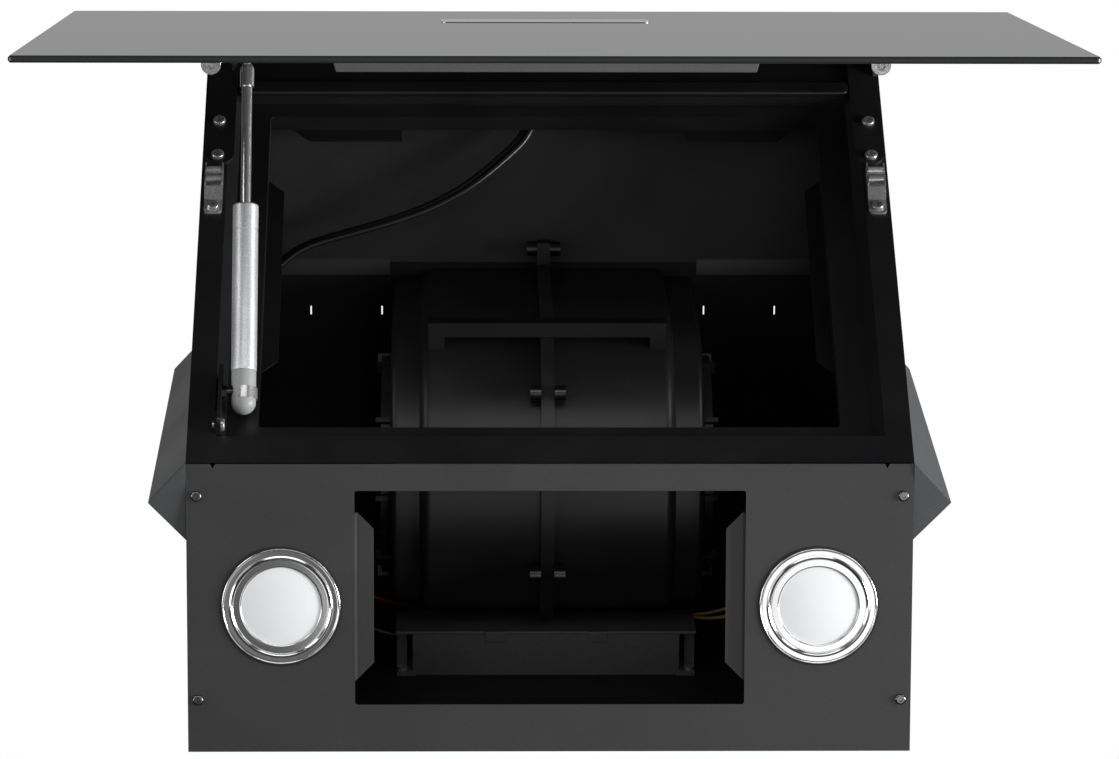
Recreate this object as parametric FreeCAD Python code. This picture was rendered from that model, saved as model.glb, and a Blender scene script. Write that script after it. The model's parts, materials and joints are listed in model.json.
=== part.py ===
import FreeCAD, Part
import math
import os

os.makedirs("parts", exist_ok=True)

# An inclined wall hood whose glass front is swung open on a gas strut.
# Millimetres. X runs across the hood, the wall is the plane y = 0, the room is towards -Y, +Z is up.
# The frame's origin is the middle of the four wall fixings. The model is built from the hood's
# lower back edge and moved down by the height of the fixings when it is written out.

# Body of the hood
sheet = 1.2
body_width = 420.0
half = body_width / 2
seam_depth = 170.0
seam_rise = 20.0
lean = 28.0
front_length = 385.0
roof_height = 291.0
roof_depth = 216.0
overrun = 1.0
seat_gap = 0.3
running_gap = 0.05
same_length_share = 1e-6

# Wall fixings in the back panel
fixing_height = 150.0
fixing_spacing_x = 300.0
fixing_spacing_z = 160.0
fixing_hole_r = 4.0

# Front frame, measured from the seam up the sloping face, and outward from it
rim_width = 15.5
recess_low = 21.5
recess_high = 319.0
recess_depth = 6.5
recess_slope_run = 6.5
opening_inside = 40.3
opening_half = half - opening_inside
opening_low = 35.0
opening_high = 307.5
opening_corner_r = 3.0
return_depth = 10.0
side_tab_width = 11.0
side_tab_low = 91.0
side_tab_high = 261.0
top_tab_inside = 54.0
top_tab_width = 68.0
top_tab_out = half - top_tab_inside
top_tab_in = top_tab_out - top_tab_width
top_tab_drop = 11.0
low_lip_inside = 61.0
low_lip_half = half - low_lip_inside
low_lip_rise = 9.0
frame_flange = 28.0
slot_width = 2.4
slot_length = 26.0
slot_back = 6.0
slot_low_at = 52.0
slot_high_at = 198.0
rib_width = 11.0
rib_height = 2.6
rib_above = 1.0
rib_corner_r = 4.0
rib_bevel = 0.9

# Lamp plate, measured from its back edge towards the seam
lamp_opening_inside = 97.0
lamp_opening_half = half - lamp_opening_inside
lamp_opening_low = 28.0
lamp_opening_high = 154.5
lamp_opening_corner_r = 1.5
lamp_flap_width = 11.0
lamp_flap_end = 10.0
lamp_flap_low = 42.0
lamp_flap_high = 141.0
lamp_flap_depth = 5.0
lamp_flap_lean = 1.2
plate_return = 8.0
seam_gap = 0.9
seam_notch_width = 3.0
seam_notch_depth = 2.6
plate_screw_inside = 6.0
plate_screw_half = half - plate_screw_inside
plate_screw_low = 31.0
plate_screw_high = 151.5
plate_screw_head_r = 3.1
plate_screw_head = 1.9
plate_screw_round = 1.1
plate_screw_r = 1.6
plate_screw_length = 8.0
plate_screw_hex_r = 1.4
plate_screw_hex_depth = 1.1
hex_sides = 6
screw_clearance = 0.15
bracket_sheet = 1.5
bracket_half = 7.0
bracket_reach = 13.0
bracket_rise = 12.0

# Lamps
lamp_inside = 54.4
lamp_x = half - lamp_inside
lamp_along = 86.5
lamp_ring_r = 34.1
lamp_ring_step_r = 27.0
lamp_lens_r = 23.1
lamp_ring_height = 2.4
lamp_ring_lip = 1.1
lamp_hole_r = 29.0
lamp_can_r = 28.6
lamp_can_depth = 15.0
lamp_can_wall = 1.2
lamp_lens_dome = 1.6
lamp_lens_depth = 3.0
lamp_clip_width = 8.0
lamp_clip_reach = 11.0
lamp_clip_sheet = 0.8
lamp_clip_rise = 9.0

# Ridged side covers
wing_reach = 22.0
wing_front = 0.0
wing_ridge = 24.0
wing_back = 47.0
wing_sill = 18.6
wing_slit = 2.4

# Hinge of the glass
glass_gap = 28.0
hinge_setback = 12.0
hinge_t = 352.9
open_angle = 37.2
arm_inside = 1.4
arm_outer = half - arm_inside
arm_width = 18.0
arm_plate = 2.5
arm_low = 254.4
arm_high = 364.0
arm_screw_inside = 8.0
arm_screw_x = arm_outer - arm_screw_inside
arm_screw_low = 261.5
arm_screw_high = 292.7
pan_head_r = 3.9
pan_head = 2.2
pan_shank_r = 1.9
pan_shank = 8.0
cross_width = 0.9
cross_span = 4.2
cross_depth = 1.2
ear_plate = 2.5
ear_r = 8.6
ear_foot = 30.0
pin_r = 2.5
pin_head_r = 4.0
pin_head = 1.5
leaf_plate = 2.0
leaf_base_width = 26.0
leaf_low = 318.0
leaf_high = 392.0
leaf_gap = 0.6

# Glass panel and what it carries
glass_width = 595.0
glass_length = 454.0
glass_thick = 4.0
glass_overhang = 53.1
glass_bevel = 1.1
glass_corner_r = 3.0
pod_half_foot = 133.5
pod_half_face = 127.0
pod_high = 346.0
pod_low = 236.0
pod_end_slope = 6.5
pod_depth = 24.0
pod_wall = 2.0
window_half = 63.5
window_high = 308.0
window_low = 278.0
window_thick = 0.4

# Roller catches and their strikers
catch_inside = 8.0
catch_x = half - catch_inside
catch_t = 240.0
catch_width = 11.0
catch_plate = 1.4
catch_low = 211.0
catch_high = 252.0
catch_screw_t = 217.0
catch_cheek_low = 230.6
catch_cheek_height = 8.0
catch_slope_low = 222.4
catch_slope_high = 229.6
catch_slope_n = 6.0
cheek_sheet = 0.8
cheek_slot = 3.0
roller_r = 2.4
roller_pitch = 7.8
roller_n = 6.2
roller_pin_r = 0.9
roller_travel = 1.0
roller_side_gap = 0.2
tongue_half = 6.0
tongue_thick = 1.5
tongue_tip_n = 2.6
tongue_rivet_r = 1.6
tongue_dish_r = 2.4
tongue_dish = 0.7
striker_foot = 1.5
striker_foot_low = 16.0
striker_foot_high = 6.0
striker_screw_drop = 10.0
striker_screw_head_r = 3.0
striker_screw_head = 1.6

# Gas strut
strut_inside = 32.0
strut_x = strut_inside - half
strut_foot_t = 52.0
strut_foot_n = 6.0
strut_eye_t = 195.1
strut_eye_n = 14.9
strut_tube_r = 7.5
strut_tube_start = 11.7
strut_tube_length = 101.5
strut_tube_wall = 1.3
strut_tube_cap = 4.0
strut_groove_at = 85.0
strut_groove = 0.5
strut_rod_r = 3.0
strut_rod_length = 116.0
strut_piston_length = 8.0
strut_end_r = 4.1
strut_end_below = 17.4
strut_end_cone = 2.6
strut_end_cone_r = 2.8
strut_end_stop = 3.6
strut_eye_r = 4.6
strut_eye_half = 1.9
strut_socket_r = 7.2
strut_socket_tail = 6.6
strut_ball_r = 5.0
strut_neck_r = 2.6
strut_mouth_r = 4.2
strut_clip_r = 8.1
strut_clip_low = -4.9
strut_clip_high = 1.9
strut_clip_open = 2.9
strut_leg_width = 0.7
strut_leg_proud = 0.6
strut_leg_line = [(-2.9, 1.9), (-2.9, -4.2), (-3.6, -8.0), (-4.8, -10.6)]
foot_plate_margin = 1.9
foot_plate_out = half - rim_width - foot_plate_margin
foot_plate = 2.2
foot_plate_low = 23.0
foot_plate_high = 71.0
foot_plate_proud = 11.5
foot_tab = 1.5
foot_tab_low = 23.0
foot_tab_high = 34.0
foot_tab_proud = 8.4
foot_screw_t = 26.6
foot_screw_n = 4.2
foot_shank = 5.0
foot_nut_r = 3.9
foot_nut = 2.6
top_plate = 2.0
top_plate_r = 7.0
top_plate_foot = 22.0
top_flange = 16.0
stud_r = 3.0
stud_collar_r = 4.6
stud_collar = 1.2

# Blower, in the plane across the hood's width
blower_y = -117.0
blower_below_roof = 106.0
blower_z = roof_height - blower_below_roof
blower_r = 95.0
blower_step = 10.0
blower_back_step = 8.0
blower_tongue_angle = 60.0
blower_outlet_back = 48.0
blower_half = 93.5
barrel_half = 76.5
collar_step = 5.0
collar_shoulder = 4.0
blower_wall = 2.5
blower_shoulder = 7.0
flange_rise = 6.0
flange_half = 4.0
flange_boss_r = 4.6
flange_boss_half = 10.5
flange_boss_proud = 5.0
flange_boss_ahead = 7.0
flange_boss_top_gap = 3.0
flange_boss_angles = (228.5, 292.0)
inlet_r = 59.0
inlet_ring_r = 66.0
inlet_ring_height = 6.0
inlet_arm_width = 9.0
inlet_arm_count = 3
inlet_hub_r = 20.0
inlet_rib_count = 9
inlet_rib = 3.0
bar_half = 71.0
bar_high = 12.0
bar_deep = 8.7
bar_ahead = 3.3
bar_drop = 5.0
bar_boss_r = 3.9
bar_boss_length = 9.5
bar_below = 37.0
bar_z = blower_z - bar_below
fan_r = 68.0
fan_half = 72.0
fan_ring = 2.0
fan_ring_width = 13.0
fan_blade_count = 26
fan_blade = 1.6
fan_blade_angle = 32.0
fan_hub_r = 13.0
fan_hub_half = 9.0
motor_r = 37.0
motor_length = 62.0
motor_bell_r = 24.0
motor_bell = 8.0
shaft_r = 4.0
shaft_past = 6.0

# Outlet collar and its two flaps
duct_y = -124.0
duct_r = 75.0
duct_wall = 1.5
duct_height = 45.0
duct_foot_r = 84.0
duct_foot = 2.0
flap_seat = 10.0
flap_stop_width = 4.0
flap_stop = 1.5
flap_sheet = 1.0
flap_clear = 1.5
flap_knuckle_r = 2.6
flap_pin_r = 1.5
flap_apart = 3.2
flap_knuckle_share = 0.92
roof_slot_width = 0.9
roof_slot_length = 5.8
roof_lap = 8.0
roof_lap_root = 3.0
roof_lap_clear = 2.5
roof_slot_in = 101.0
roof_slot_out = 145.5
roof_slot_y = 184.8

# Electronics box on the back panel
box_half = 80.8
box_low = 126.0
box_high = 165.0
box_depth = 26.0
box_wall = 2.0
lid_half = 91.0
lid_plate = 2.0
lid_air = 1.0
lid_notch_r = 6.5
lid_clip_x = (-31.0, 31.0)
lid_clip_half = 6.0
lid_clip_reach = 4.6
lid_clip = 1.0
lug_apart = 3.3
lug_width = 6.2
lug_low = 2.0
lug_screw_rise = 3.0
lug_post_rise = 7.5
lug_post_drop = 14.0
lug_plate = 3.0
box_screw_r = 1.8
box_screw_head_r = 3.2
box_screw_head = 2.0

# Wires and cables, their routes in x, y, z of the build frame
wire_r = 1.0
cable_r = 2.0
wire_bend_share = 0.45
white_aside = 2.4
red_route = [(-55.0, -14.0, 165.0), (-57.0, -14.0, 181.0), (-72.0, -20.0, 192.0), (-98.0, -25.5, 192.0),
             (-120.0, -40.0, 180.0), (-136.0, -62.0, 149.0), (-146.0, -76.0, 108.0), (-152.0, -84.0, 64.0),
             (-lamp_x, -84.2, 25.3)]
yellow_route = [(60.0, -14.0, 165.0), (62.0, -14.0, 181.0), (76.0, -16.0, 191.0), (100.0, -17.5, 190.0),
                (122.0, -31.0, 172.0), (136.0, -50.0, 138.0), (144.0, -66.0, 100.0), (151.0, -78.0, 61.0),
                (lamp_x, -81.2, 25.0)]
white_route = [(72.0, -9.0, 165.0), (74.0, -9.0, 175.0), (86.0, -18.5, 183.0), (106.0, -18.0, 180.0),
               (127.0, -31.0, 162.0), (140.0, -50.0, 130.0), (149.0, -69.0, 96.0), (156.0, -84.0, 58.0),
               (lamp_x + white_aside, -88.2, 25.9)]
lead_route = [(-4.0, -330.9, 325.2), (-4.5, -320.9, 329.3), (-8.0, -302.0, 320.0), (-14.0, -291.0, 312.5),
              (-28.0, -279.5, 303.0), (-48.0, -265.5, 291.3), (-71.0, -254.0, 285.0), (-96.0, -245.5, 281.5),
              (-124.0, -238.0, 279.5), (-152.0, -230.0, 278.0), (-173.0, -213.0, 271.0),
              (-186.0, -186.0, 258.0), (-190.0, -152.0, 240.0), (-184.0, -116.0, 220.0),
              (-168.0, -81.0, 198.0), (-147.0, -51.0, 178.0), (-124.0, -28.0, 166.0),
 (-103.0, -17.0, 161.0), (-80.8, -13.0, 160.0)]
lead_apart_start = (3.0, 2.1, -4.0)
lead_apart_end = (0.0, -1.5, -4.5)

# Worked out from the values above
inner_half = half - sheet
plate_length = math.hypot(seam_depth, seam_rise)
plate_tilt = math.degrees(math.atan2(seam_rise, seam_depth))
front_angle = 90 + lean
hinge_n = glass_gap - hinge_setback
roof_under = roof_height - sheet
recess_half = half - rim_width
rib_half = arm_outer - arm_width - seat_gap


def vec(x, y, z):
    return FreeCAD.Vector(x, y, z)


across = vec(1, 0, 0)
along = vec(0, 1, 0)
outward = vec(0, 0, 1)
face_frame = FreeCAD.Placement(vec(0, -seam_depth, seam_rise), FreeCAD.Rotation(across, front_angle))
plate_frame = FreeCAD.Placement(vec(0, 0, 0), FreeCAD.Rotation(across, 180 - plate_tilt))


def on_face(x, t, n):
    """A point given across, up and outward from the sloping face."""
    return face_frame.multVec(vec(x, t, n))


def on_plate(x, t, n):
    """A point given across, forward and downward from the lamp plate."""
    return plate_frame.multVec(vec(x, t, n))


def yz(point):
    return (point.y, point.z)


lower_back = (0.0, 0.0)
seam = (-seam_depth, seam_rise)
top_front = yz(on_face(0, front_length, 0))
roof_fold = (-roof_depth, roof_height)
upper_back = (0.0, roof_height)
outline = [lower_back, seam, top_front, roof_fold, upper_back]
bottom_side, front_side, slope_side, roof_side, back_side = range(len(outline))


# Shapes that the sub-parts share
def placed(shape, frame):
    moved = shape.copy()
    moved.Placement = frame.multiply(moved.Placement)
    return moved


def block(x0, x1, y0, y1, z0, z1):
    return Part.makeBox(x1 - x0, y1 - y0, z1 - z0, vec(x0, y0, z0))


def drum(radius, start, length, axis):
    """A cylinder of a length from a start along one of the three axes."""
    return Part.makeCylinder(radius, length, start, axis)


def across_rod(radius, x0, x1, y, z):
    return drum(radius, vec(x0, y, z), x1 - x0, across)


def upright_rod(radius, x, y, z0, z1):
    return drum(radius, vec(x, y, z0), z1 - z0, outward)


def fused(shapes):
    return shapes[0].multiFuse(shapes[1:]).removeSplitter()


def less(shape, cutters):
    return shape.cut(Part.makeCompound(cutters))


def side_profile(points, x0, x1):
    """A profile in the plane across the hood's width, drawn out from x0 to x1."""
    ring = [vec(x0, y, z) for y, z in points]
    face = Part.Face(Part.makePolygon(ring + ring[:1]))
    return face.extrude(vec(x1 - x0, 0, 0))


def flat_profile(points, z0, z1):
    """A profile in a sheet's own plane, drawn out from z0 to z1."""
    ring = [vec(x, y, z0) for x, y in points]
    face = Part.Face(Part.makePolygon(ring + ring[:1]))
    return face.extrude(vec(0, 0, z1 - z0))


def mirrored(shape):
    return shape.mirror(vec(0, 0, 0), across)


def crossing(a, b, c, d):
    """Where the line through a and b meets the line through c and d."""
    r = (b[0] - a[0], b[1] - a[1])
    s = (d[0] - c[0], d[1] - c[1])
    share = ((c[0] - a[0]) * s[1] - (c[1] - a[1]) * s[0]) / (r[0] * s[1] - r[1] * s[0])
    return (a[0] + share * r[0], a[1] + share * r[1])


def sides(points):
    """The sides of an outline, each from one corner to the next."""
    return list(zip(points, points[1:] + points[:1]))


def inset(points, distance):
    """The outline moved inward by a distance; the outline runs clockwise."""
    lines = []
    for a, b in sides(points):
        length = math.hypot(b[0] - a[0], b[1] - a[1])
        shift = ((b[1] - a[1]) / length * distance, -(b[0] - a[0]) / length * distance)
        lines.append(((a[0] + shift[0], a[1] + shift[1]), (b[0] + shift[0], b[1] + shift[1])))
    return [crossing(*lines[i - 1], *lines[i]) for i in range(len(points))]


def wall_along(side, x0, x1):
    """The sheet along one side of the body's outline, mitred at both ends."""
    start, end = sides(outline)[side]
    inner_start, inner_end = sides(inset(outline, sheet))[side]
    return side_profile([start, end, inner_end, inner_start], x0, x1)


def rounded_block(x0, x1, y0, y1, z0, z1, radius):
    """A block whose four corners in the sheet's plane are rounded."""
    shape = block(x0, x1, y0, y1, z0, z1)
    upright = [e for e in shape.Edges if abs(e.BoundBox.ZLength - (z1 - z0)) < sheet * same_length_share]
    return shape.makeFillet(radius, upright)


def cross_slot(x, y, top, depth, span, width):
    """The cross recess of a screw head, cut down from its top."""
    first = block(x - span / 2, x + span / 2, y - width / 2, y + width / 2, top - depth, top + overrun)
    second = block(x - width / 2, x + width / 2, y - span / 2, y + span / 2, top - depth, top + overrun)
    return first.fuse(second)


def pan_screw(x, y, seat, shank_length):
    """A pan-head screw standing on a seat, its shank going down."""
    head = upright_rod(pan_head_r, x, y, seat, seat + pan_head)
    top = [e for e in head.Edges
           if e.BoundBox.ZMin > seat + pan_head / 2 and e.BoundBox.ZLength < pan_head / 2]
    head = head.makeFillet(pan_head / 2, top)
    shank = upright_rod(pan_shank_r, x, y, seat - shank_length, seat)
    return less(head.fuse(shank), [cross_slot(x, y, seat + pan_head, cross_depth, cross_span, cross_width)])


def save(name, shape):
    """Writes one sub-part, moved so that the wall fixings' middle is the origin."""
    moved = shape.copy()
    moved.translate(vec(0, 0, -fixing_height))
    moved.exportStep("parts/" + name + ".step")
    print(name, len(moved.Solids), "solids", round(moved.Volume / 1000, 2), "cm3")


# Sheet-metal body
def back_panel():
    panel = wall_along(back_side, -inner_half, inner_half)
    holes = []
    for x in (-fixing_spacing_x / 2, fixing_spacing_x / 2):
        for z in (fixing_height - fixing_spacing_z / 2, fixing_height + fixing_spacing_z / 2):
            holes.append(drum(fixing_hole_r, vec(x, -sheet - overrun, z), sheet + 2 * overrun, along))
    return less(panel, holes)


def sloped_roof():
    """The front part of the roof, with two folded lips that lap under the level part."""
    top = inset(outline, sheet)
    under = inset(outline, 2 * sheet)
    fold, front = top[roof_side], top[slope_side]
    run = math.dist(fold, front)
    step = [(front[i] - fold[i]) * roof_lap_root / run for i in (0, 1)]
    low = under[roof_side]
    lip = [(fold[0] + step[0], fold[1] + step[1]), fold, (fold[0] + roof_lap, fold[1]),
           (fold[0] + roof_lap, low[1]), low, (low[0] + step[0], low[1] + step[1])]
    lap = side_profile(lip, blower_half + roof_lap_clear, inner_half - sheet)
    return fused([wall_along(slope_side, -inner_half, inner_half), lap, mirrored(lap)])


def rear_roof():
    panel = wall_along(roof_side, -inner_half, inner_half)
    duct_inner = duct_r - duct_wall
    holes = [upright_rod(duct_inner, 0, duct_y, roof_under - overrun, roof_height + overrun)]
    for x in (-roof_slot_out, -roof_slot_in, roof_slot_in, roof_slot_out):
        holes.append(block(x - roof_slot_width / 2, x + roof_slot_width / 2,
                           -roof_slot_y - roof_slot_length / 2, -roof_slot_y + roof_slot_length / 2,
                           roof_under - overrun, roof_height + overrun))
    return less(panel, holes)


def side_panel():
    return side_profile(inset(outline, sheet), inner_half - sheet, inner_half)


def wing():
    """A ridged cover on the side of the body, folded from one sheet and open towards the body."""
    def ridge(grow, z0, z1):
        front = -seam_depth + wing_front + grow
        back = -seam_depth + wing_back - grow
        points = [(inner_half, front), (half, front), (half + wing_reach - grow, -seam_depth + wing_ridge),
                  (half, back), (inner_half, back)]
        return flat_profile(points, z0, z1)
    outer = ridge(0, wing_sill, roof_height)
    inner = ridge(sheet, wing_sill + sheet, roof_height - sheet)
    slit = block(half, half + wing_reach + overrun, -seam_depth - overrun, -seam_depth + wing_ridge - sheet,
                 wing_sill + sheet, wing_sill + sheet + wing_slit)
    return less(outer, [inner, slit, frame_wrap(overrun), plate_wrap(overrun)])


def frame_wrap(proud):
    """The strip down each side of the body that the front frame's flanges fill."""
    strip = block(-half, half, -front_length, front_length + overrun, -frame_flange, proud)
    return placed(strip, face_frame)


def plate_wrap(proud):
    """The strip along the bottom of each side that the lamp plate's turned-in edges fill."""
    return placed(block(-half, half, -overrun, plate_length + overrun, -plate_return, proud), plate_frame)


def trapezoid(long_low, long_high, base, tip, low_cut, high_cut, z0, z1):
    """A tab that stands on a long edge and has slanting ends."""
    return flat_profile([(base, long_low), (tip, long_low + low_cut), (tip, long_high - high_cut),
                         (base, long_high)], z0, z1)


def front_frame():
    """The pressed frame on the sloping face, with its recess, opening, filter tabs and side flanges."""
    floor_half = recess_half - recess_slope_run
    floor_top = -recess_depth
    floor_low = floor_top - sheet
    tab_top = floor_low - return_depth

    rim = wall_along(front_side, -half, half)
    window = block(-recess_half, recess_half, recess_low, recess_high, -sheet - overrun, overrun)
    rim = rim.cut(placed(window, face_frame))

    floor = block(-floor_half, floor_half, recess_low - sheet, recess_high + sheet, floor_low, floor_top)
    opening = rounded_block(-opening_half, opening_half, opening_low, opening_high,
                            floor_low - overrun, floor_top + overrun, opening_corner_r)
    pieces = [floor.cut(opening)]

    for side in (-1, 1):
        ring = [(side * recess_half, 0), (side * (recess_half + sheet), 0),
                (side * (recess_half + sheet), -sheet), (side * floor_half, floor_low),
                (side * floor_half, floor_top)]
        points = [vec(x, recess_low - sheet, z) for x, z in ring]
        step = Part.Face(Part.makePolygon(points + points[:1]))
        pieces.append(step.extrude(vec(0, recess_high - recess_low + 2 * sheet, 0)))
    for t in (recess_low - sheet, recess_high):
        pieces.append(block(-recess_half, recess_half, t, t + sheet, floor_low, 0))

    # Return wall round the opening, then the tabs that a filter rests on
    outer = block(-opening_half - sheet, opening_half + sheet, opening_low - sheet, opening_high + sheet,
                  tab_top, floor_low)
    pieces.append(outer.cut(block(-opening_half, opening_half, opening_low, opening_high,
                                  tab_top - overrun, floor_low + overrun)))
    edge = opening_half + sheet
    side_tab = trapezoid(side_tab_low, side_tab_high, edge, edge - side_tab_width, side_tab_width,
                         side_tab_width, tab_top - sheet, tab_top)
    high = opening_high + sheet
    top_tab = flat_profile([(top_tab_in, high), (top_tab_out, high),
                            (top_tab_out - top_tab_drop, high - top_tab_drop),
                            (top_tab_in, high - top_tab_drop)], tab_top - sheet, tab_top)
    low = opening_low - sheet
    lip = flat_profile([(-low_lip_half, low), (low_lip_half, low),
                        (low_lip_half - low_lip_rise, low + low_lip_rise),
                        (-low_lip_half + low_lip_rise, low + low_lip_rise)], tab_top - sheet, tab_top)
    pieces += [side_tab, mirrored(side_tab), top_tab, mirrored(top_tab), lip]
    pressed = placed(fused(pieces), face_frame)

    # Side flanges that wrap over the side panels
    flange = side_profile(inset(outline, sheet), inner_half, half).common(frame_wrap(0))
    slots = []
    for t in (slot_low_at, slot_high_at):
        slots.append(placed(block(inner_half - overrun, half + overrun, t, t + slot_length,
                                  -slot_back - slot_width, -slot_back), face_frame))
    flange = less(flange, slots)
    holes = [frame_hole(side * arm_screw_x, t) for side in (-1, 1) for t in (arm_screw_low, arm_screw_high)]
    holes += [frame_hole(side * catch_x, catch_screw_t) for side in (-1, 1)]
    return less(fused([rim, pressed, flange, mirrored(flange), strut_tab()]), holes)


def strut_tab():
    """The tab that stands up at the side of the recess for the strut's foot bracket."""
    x1 = -foot_plate_out
    x0 = x1 - foot_tab
    ring = [(x0, foot_tab_proud), (x0, recess_slope(x0) - sheet / 2), (x1, recess_slope(x1) - sheet / 2),
            (x1, foot_tab_proud)]
    points = [vec(x, foot_tab_low, n) for x, n in ring]
    tab = Part.Face(Part.makePolygon(points + points[:1])).extrude(vec(0, foot_tab_high - foot_tab_low, 0))
    hole = across_rod(pan_shank_r + screw_clearance, x0 - overrun, x1 + overrun, foot_screw_t, foot_screw_n)
    return placed(tab.cut(hole), face_frame)


def recess_slope(x):
    """How far out the sloping side of the recess is at a place across, on the left side."""
    return -(recess_half + x) * recess_depth / recess_slope_run


def frame_hole(x, t):
    """Room for the shank of a screw that goes through the frame."""
    hole = upright_rod(pan_shank_r + screw_clearance, x, t, -recess_depth - pan_shank, overrun)
    return placed(hole, face_frame)


def frame_rib():
    """The raised bar across the top of the frame's recess."""
    rib_low = recess_high + rib_above
    rib = rounded_block(-rib_half, rib_half, rib_low, rib_low + rib_width, 0, rib_height, rib_corner_r)
    top = [e for e in rib.Edges if e.BoundBox.ZMin > rib_height - rib_bevel]
    return placed(rib.makeChamfer(rib_bevel, top), face_frame)


def lamp_plate():
    """The downward cover with the lower opening, its stepped-in flaps and the seats of the lamps."""
    plate = wall_along(bottom_side, -half, half)
    opening = rounded_block(-lamp_opening_half, lamp_opening_half, lamp_opening_low, lamp_opening_high,
                            -sheet - overrun, overrun, lamp_opening_corner_r)
    cuts = [placed(opening, plate_frame)]
    for x in (-lamp_x, lamp_x):
        cuts.append(placed(upright_rod(lamp_hole_r, x, lamp_along, -sheet - overrun, overrun), plate_frame))
    for x, t in plate_screw_places():
        hole = upright_rod(plate_screw_r + screw_clearance, x, t, -sheet - overrun, overrun)
        cuts.append(placed(hole, plate_frame))
    seam_room = block(-half - overrun, half + overrun, plate_length - seam_gap, plate_length + overrun,
                      -plate_return, overrun)
    cuts.append(placed(seam_room, plate_frame))
    front_edge = plate_length - seam_gap
    for x in (rim_width - half, half - rim_width):
        notch = [(x - seam_notch_width / 2, front_edge + overrun), (x - seam_notch_width / 2, front_edge),
                 (x, front_edge - seam_notch_depth), (x + seam_notch_width / 2, front_edge),
                 (x + seam_notch_width / 2, front_edge + overrun)]
        cuts.append(placed(flat_profile(notch, -sheet - overrun, overrun), plate_frame))
    plate = less(plate, cuts)

    # Each flap steps in from the opening's edge and then runs level with the plate
    edge = lamp_opening_half
    low = -lamp_flap_depth - sheet
    ring = [(edge, 0), (edge - lamp_flap_lean, -lamp_flap_depth), (edge - lamp_flap_lean, low),
            (edge + sheet, -sheet), (edge + sheet, 0)]
    points = [vec(x, lamp_flap_low, z) for x, z in ring]
    wall = Part.Face(Part.makePolygon(points + points[:1]))
    wall = wall.extrude(vec(0, lamp_flap_high - lamp_flap_low, 0))
    tab = trapezoid(lamp_flap_low, lamp_flap_high, edge - lamp_flap_lean, edge - lamp_flap_width,
                    lamp_flap_end, lamp_flap_end, low, -lamp_flap_depth)
    flap = placed(wall.fuse(tab), plate_frame)

    turned_in = side_profile(inset(outline, sheet), inner_half, half).common(plate_wrap(0))
    turned_in = turned_in.cut(frame_wrap(overrun))
    return fused([plate, flap, mirrored(flap), turned_in, mirrored(turned_in)])


def plate_screw_places():
    rows = (plate_screw_low, plate_screw_high)
    return [(x, t) for x in (-plate_screw_half, plate_screw_half) for t in rows]


def lamp_plate_screws():
    screws = []
    for x, t in plate_screw_places():
        head = upright_rod(plate_screw_head_r, x, t, 0, plate_screw_head)
        top = [e for e in head.Edges
               if e.BoundBox.ZMin > plate_screw_head / 2 and e.BoundBox.ZLength < sheet / 2]
        head = head.makeFillet(plate_screw_round, top)
        shank = upright_rod(plate_screw_r, x, t, -plate_screw_length, 0)
        corners = [math.radians(360 * i / hex_sides) for i in range(hex_sides)]
        hexagon = [(x + plate_screw_hex_r * math.cos(a), t + plate_screw_hex_r * math.sin(a))
                   for a in corners]
        socket = flat_profile(hexagon, plate_screw_head - plate_screw_hex_depth, plate_screw_head + overrun)
        screws.append(placed(head.fuse(shank).cut(socket), plate_frame))
    return Part.makeCompound(screws)


def corner_brackets():
    """Four folded tabs inside the side panels that the lamp plate's screws go into."""
    tabs = []
    edge = inner_half - sheet
    for t in (plate_screw_low, plate_screw_high):
        foot = block(edge - bracket_reach, edge, t - bracket_half, t + bracket_half,
                     -sheet - bracket_sheet, -sheet)
        wall = block(edge - bracket_sheet, edge, t - bracket_half, t + bracket_half,
                     -sheet - bracket_rise, -sheet)
        hole = upright_rod(plate_screw_r + screw_clearance, plate_screw_half, t,
                           -sheet - bracket_rise, overrun)
        tab = placed(foot.fuse(wall).removeSplitter().cut(hole), plate_frame)
        tabs += [tab, mirrored(tab)]
    return Part.makeCompound(tabs)


# Lamps
def turned(points, x, y):
    """A profile of radius and height turned about an axis square to the sheet."""
    ring = [vec(r, 0, z) for r, z in points]
    face = Part.Face(Part.makePolygon(ring + ring[:1]))
    shape = face.revolve(vec(0, 0, 0), outward, 360)
    shape.translate(vec(x, y, 0))
    return shape


def lamp_ring(x):
    points = [(lamp_lens_r, -sheet), (lamp_hole_r - seat_gap, -sheet), (lamp_hole_r - seat_gap, 0),
              (lamp_ring_r, 0), (lamp_ring_r, lamp_ring_lip),
              (lamp_ring_r - lamp_ring_lip, lamp_ring_height),
              (lamp_ring_step_r + lamp_ring_lip, lamp_ring_height), (lamp_ring_step_r, lamp_ring_lip),
              (lamp_lens_r + lamp_ring_lip, lamp_ring_lip), (lamp_lens_r, 0)]
    return placed(turned(points, x, lamp_along), plate_frame)


def lamp_lens(x):
    body = upright_rod(lamp_lens_r, x, lamp_along, -lamp_lens_depth, 0)
    ball_r = (lamp_lens_r ** 2 + lamp_lens_dome ** 2) / (2 * lamp_lens_dome)
    ball = Part.makeSphere(ball_r, vec(x, lamp_along, lamp_lens_dome - ball_r))
    cap = ball.common(upright_rod(lamp_lens_r, x, lamp_along, 0, lamp_lens_dome + overrun))
    return placed(body.fuse(cap).removeSplitter(), plate_frame)


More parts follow.
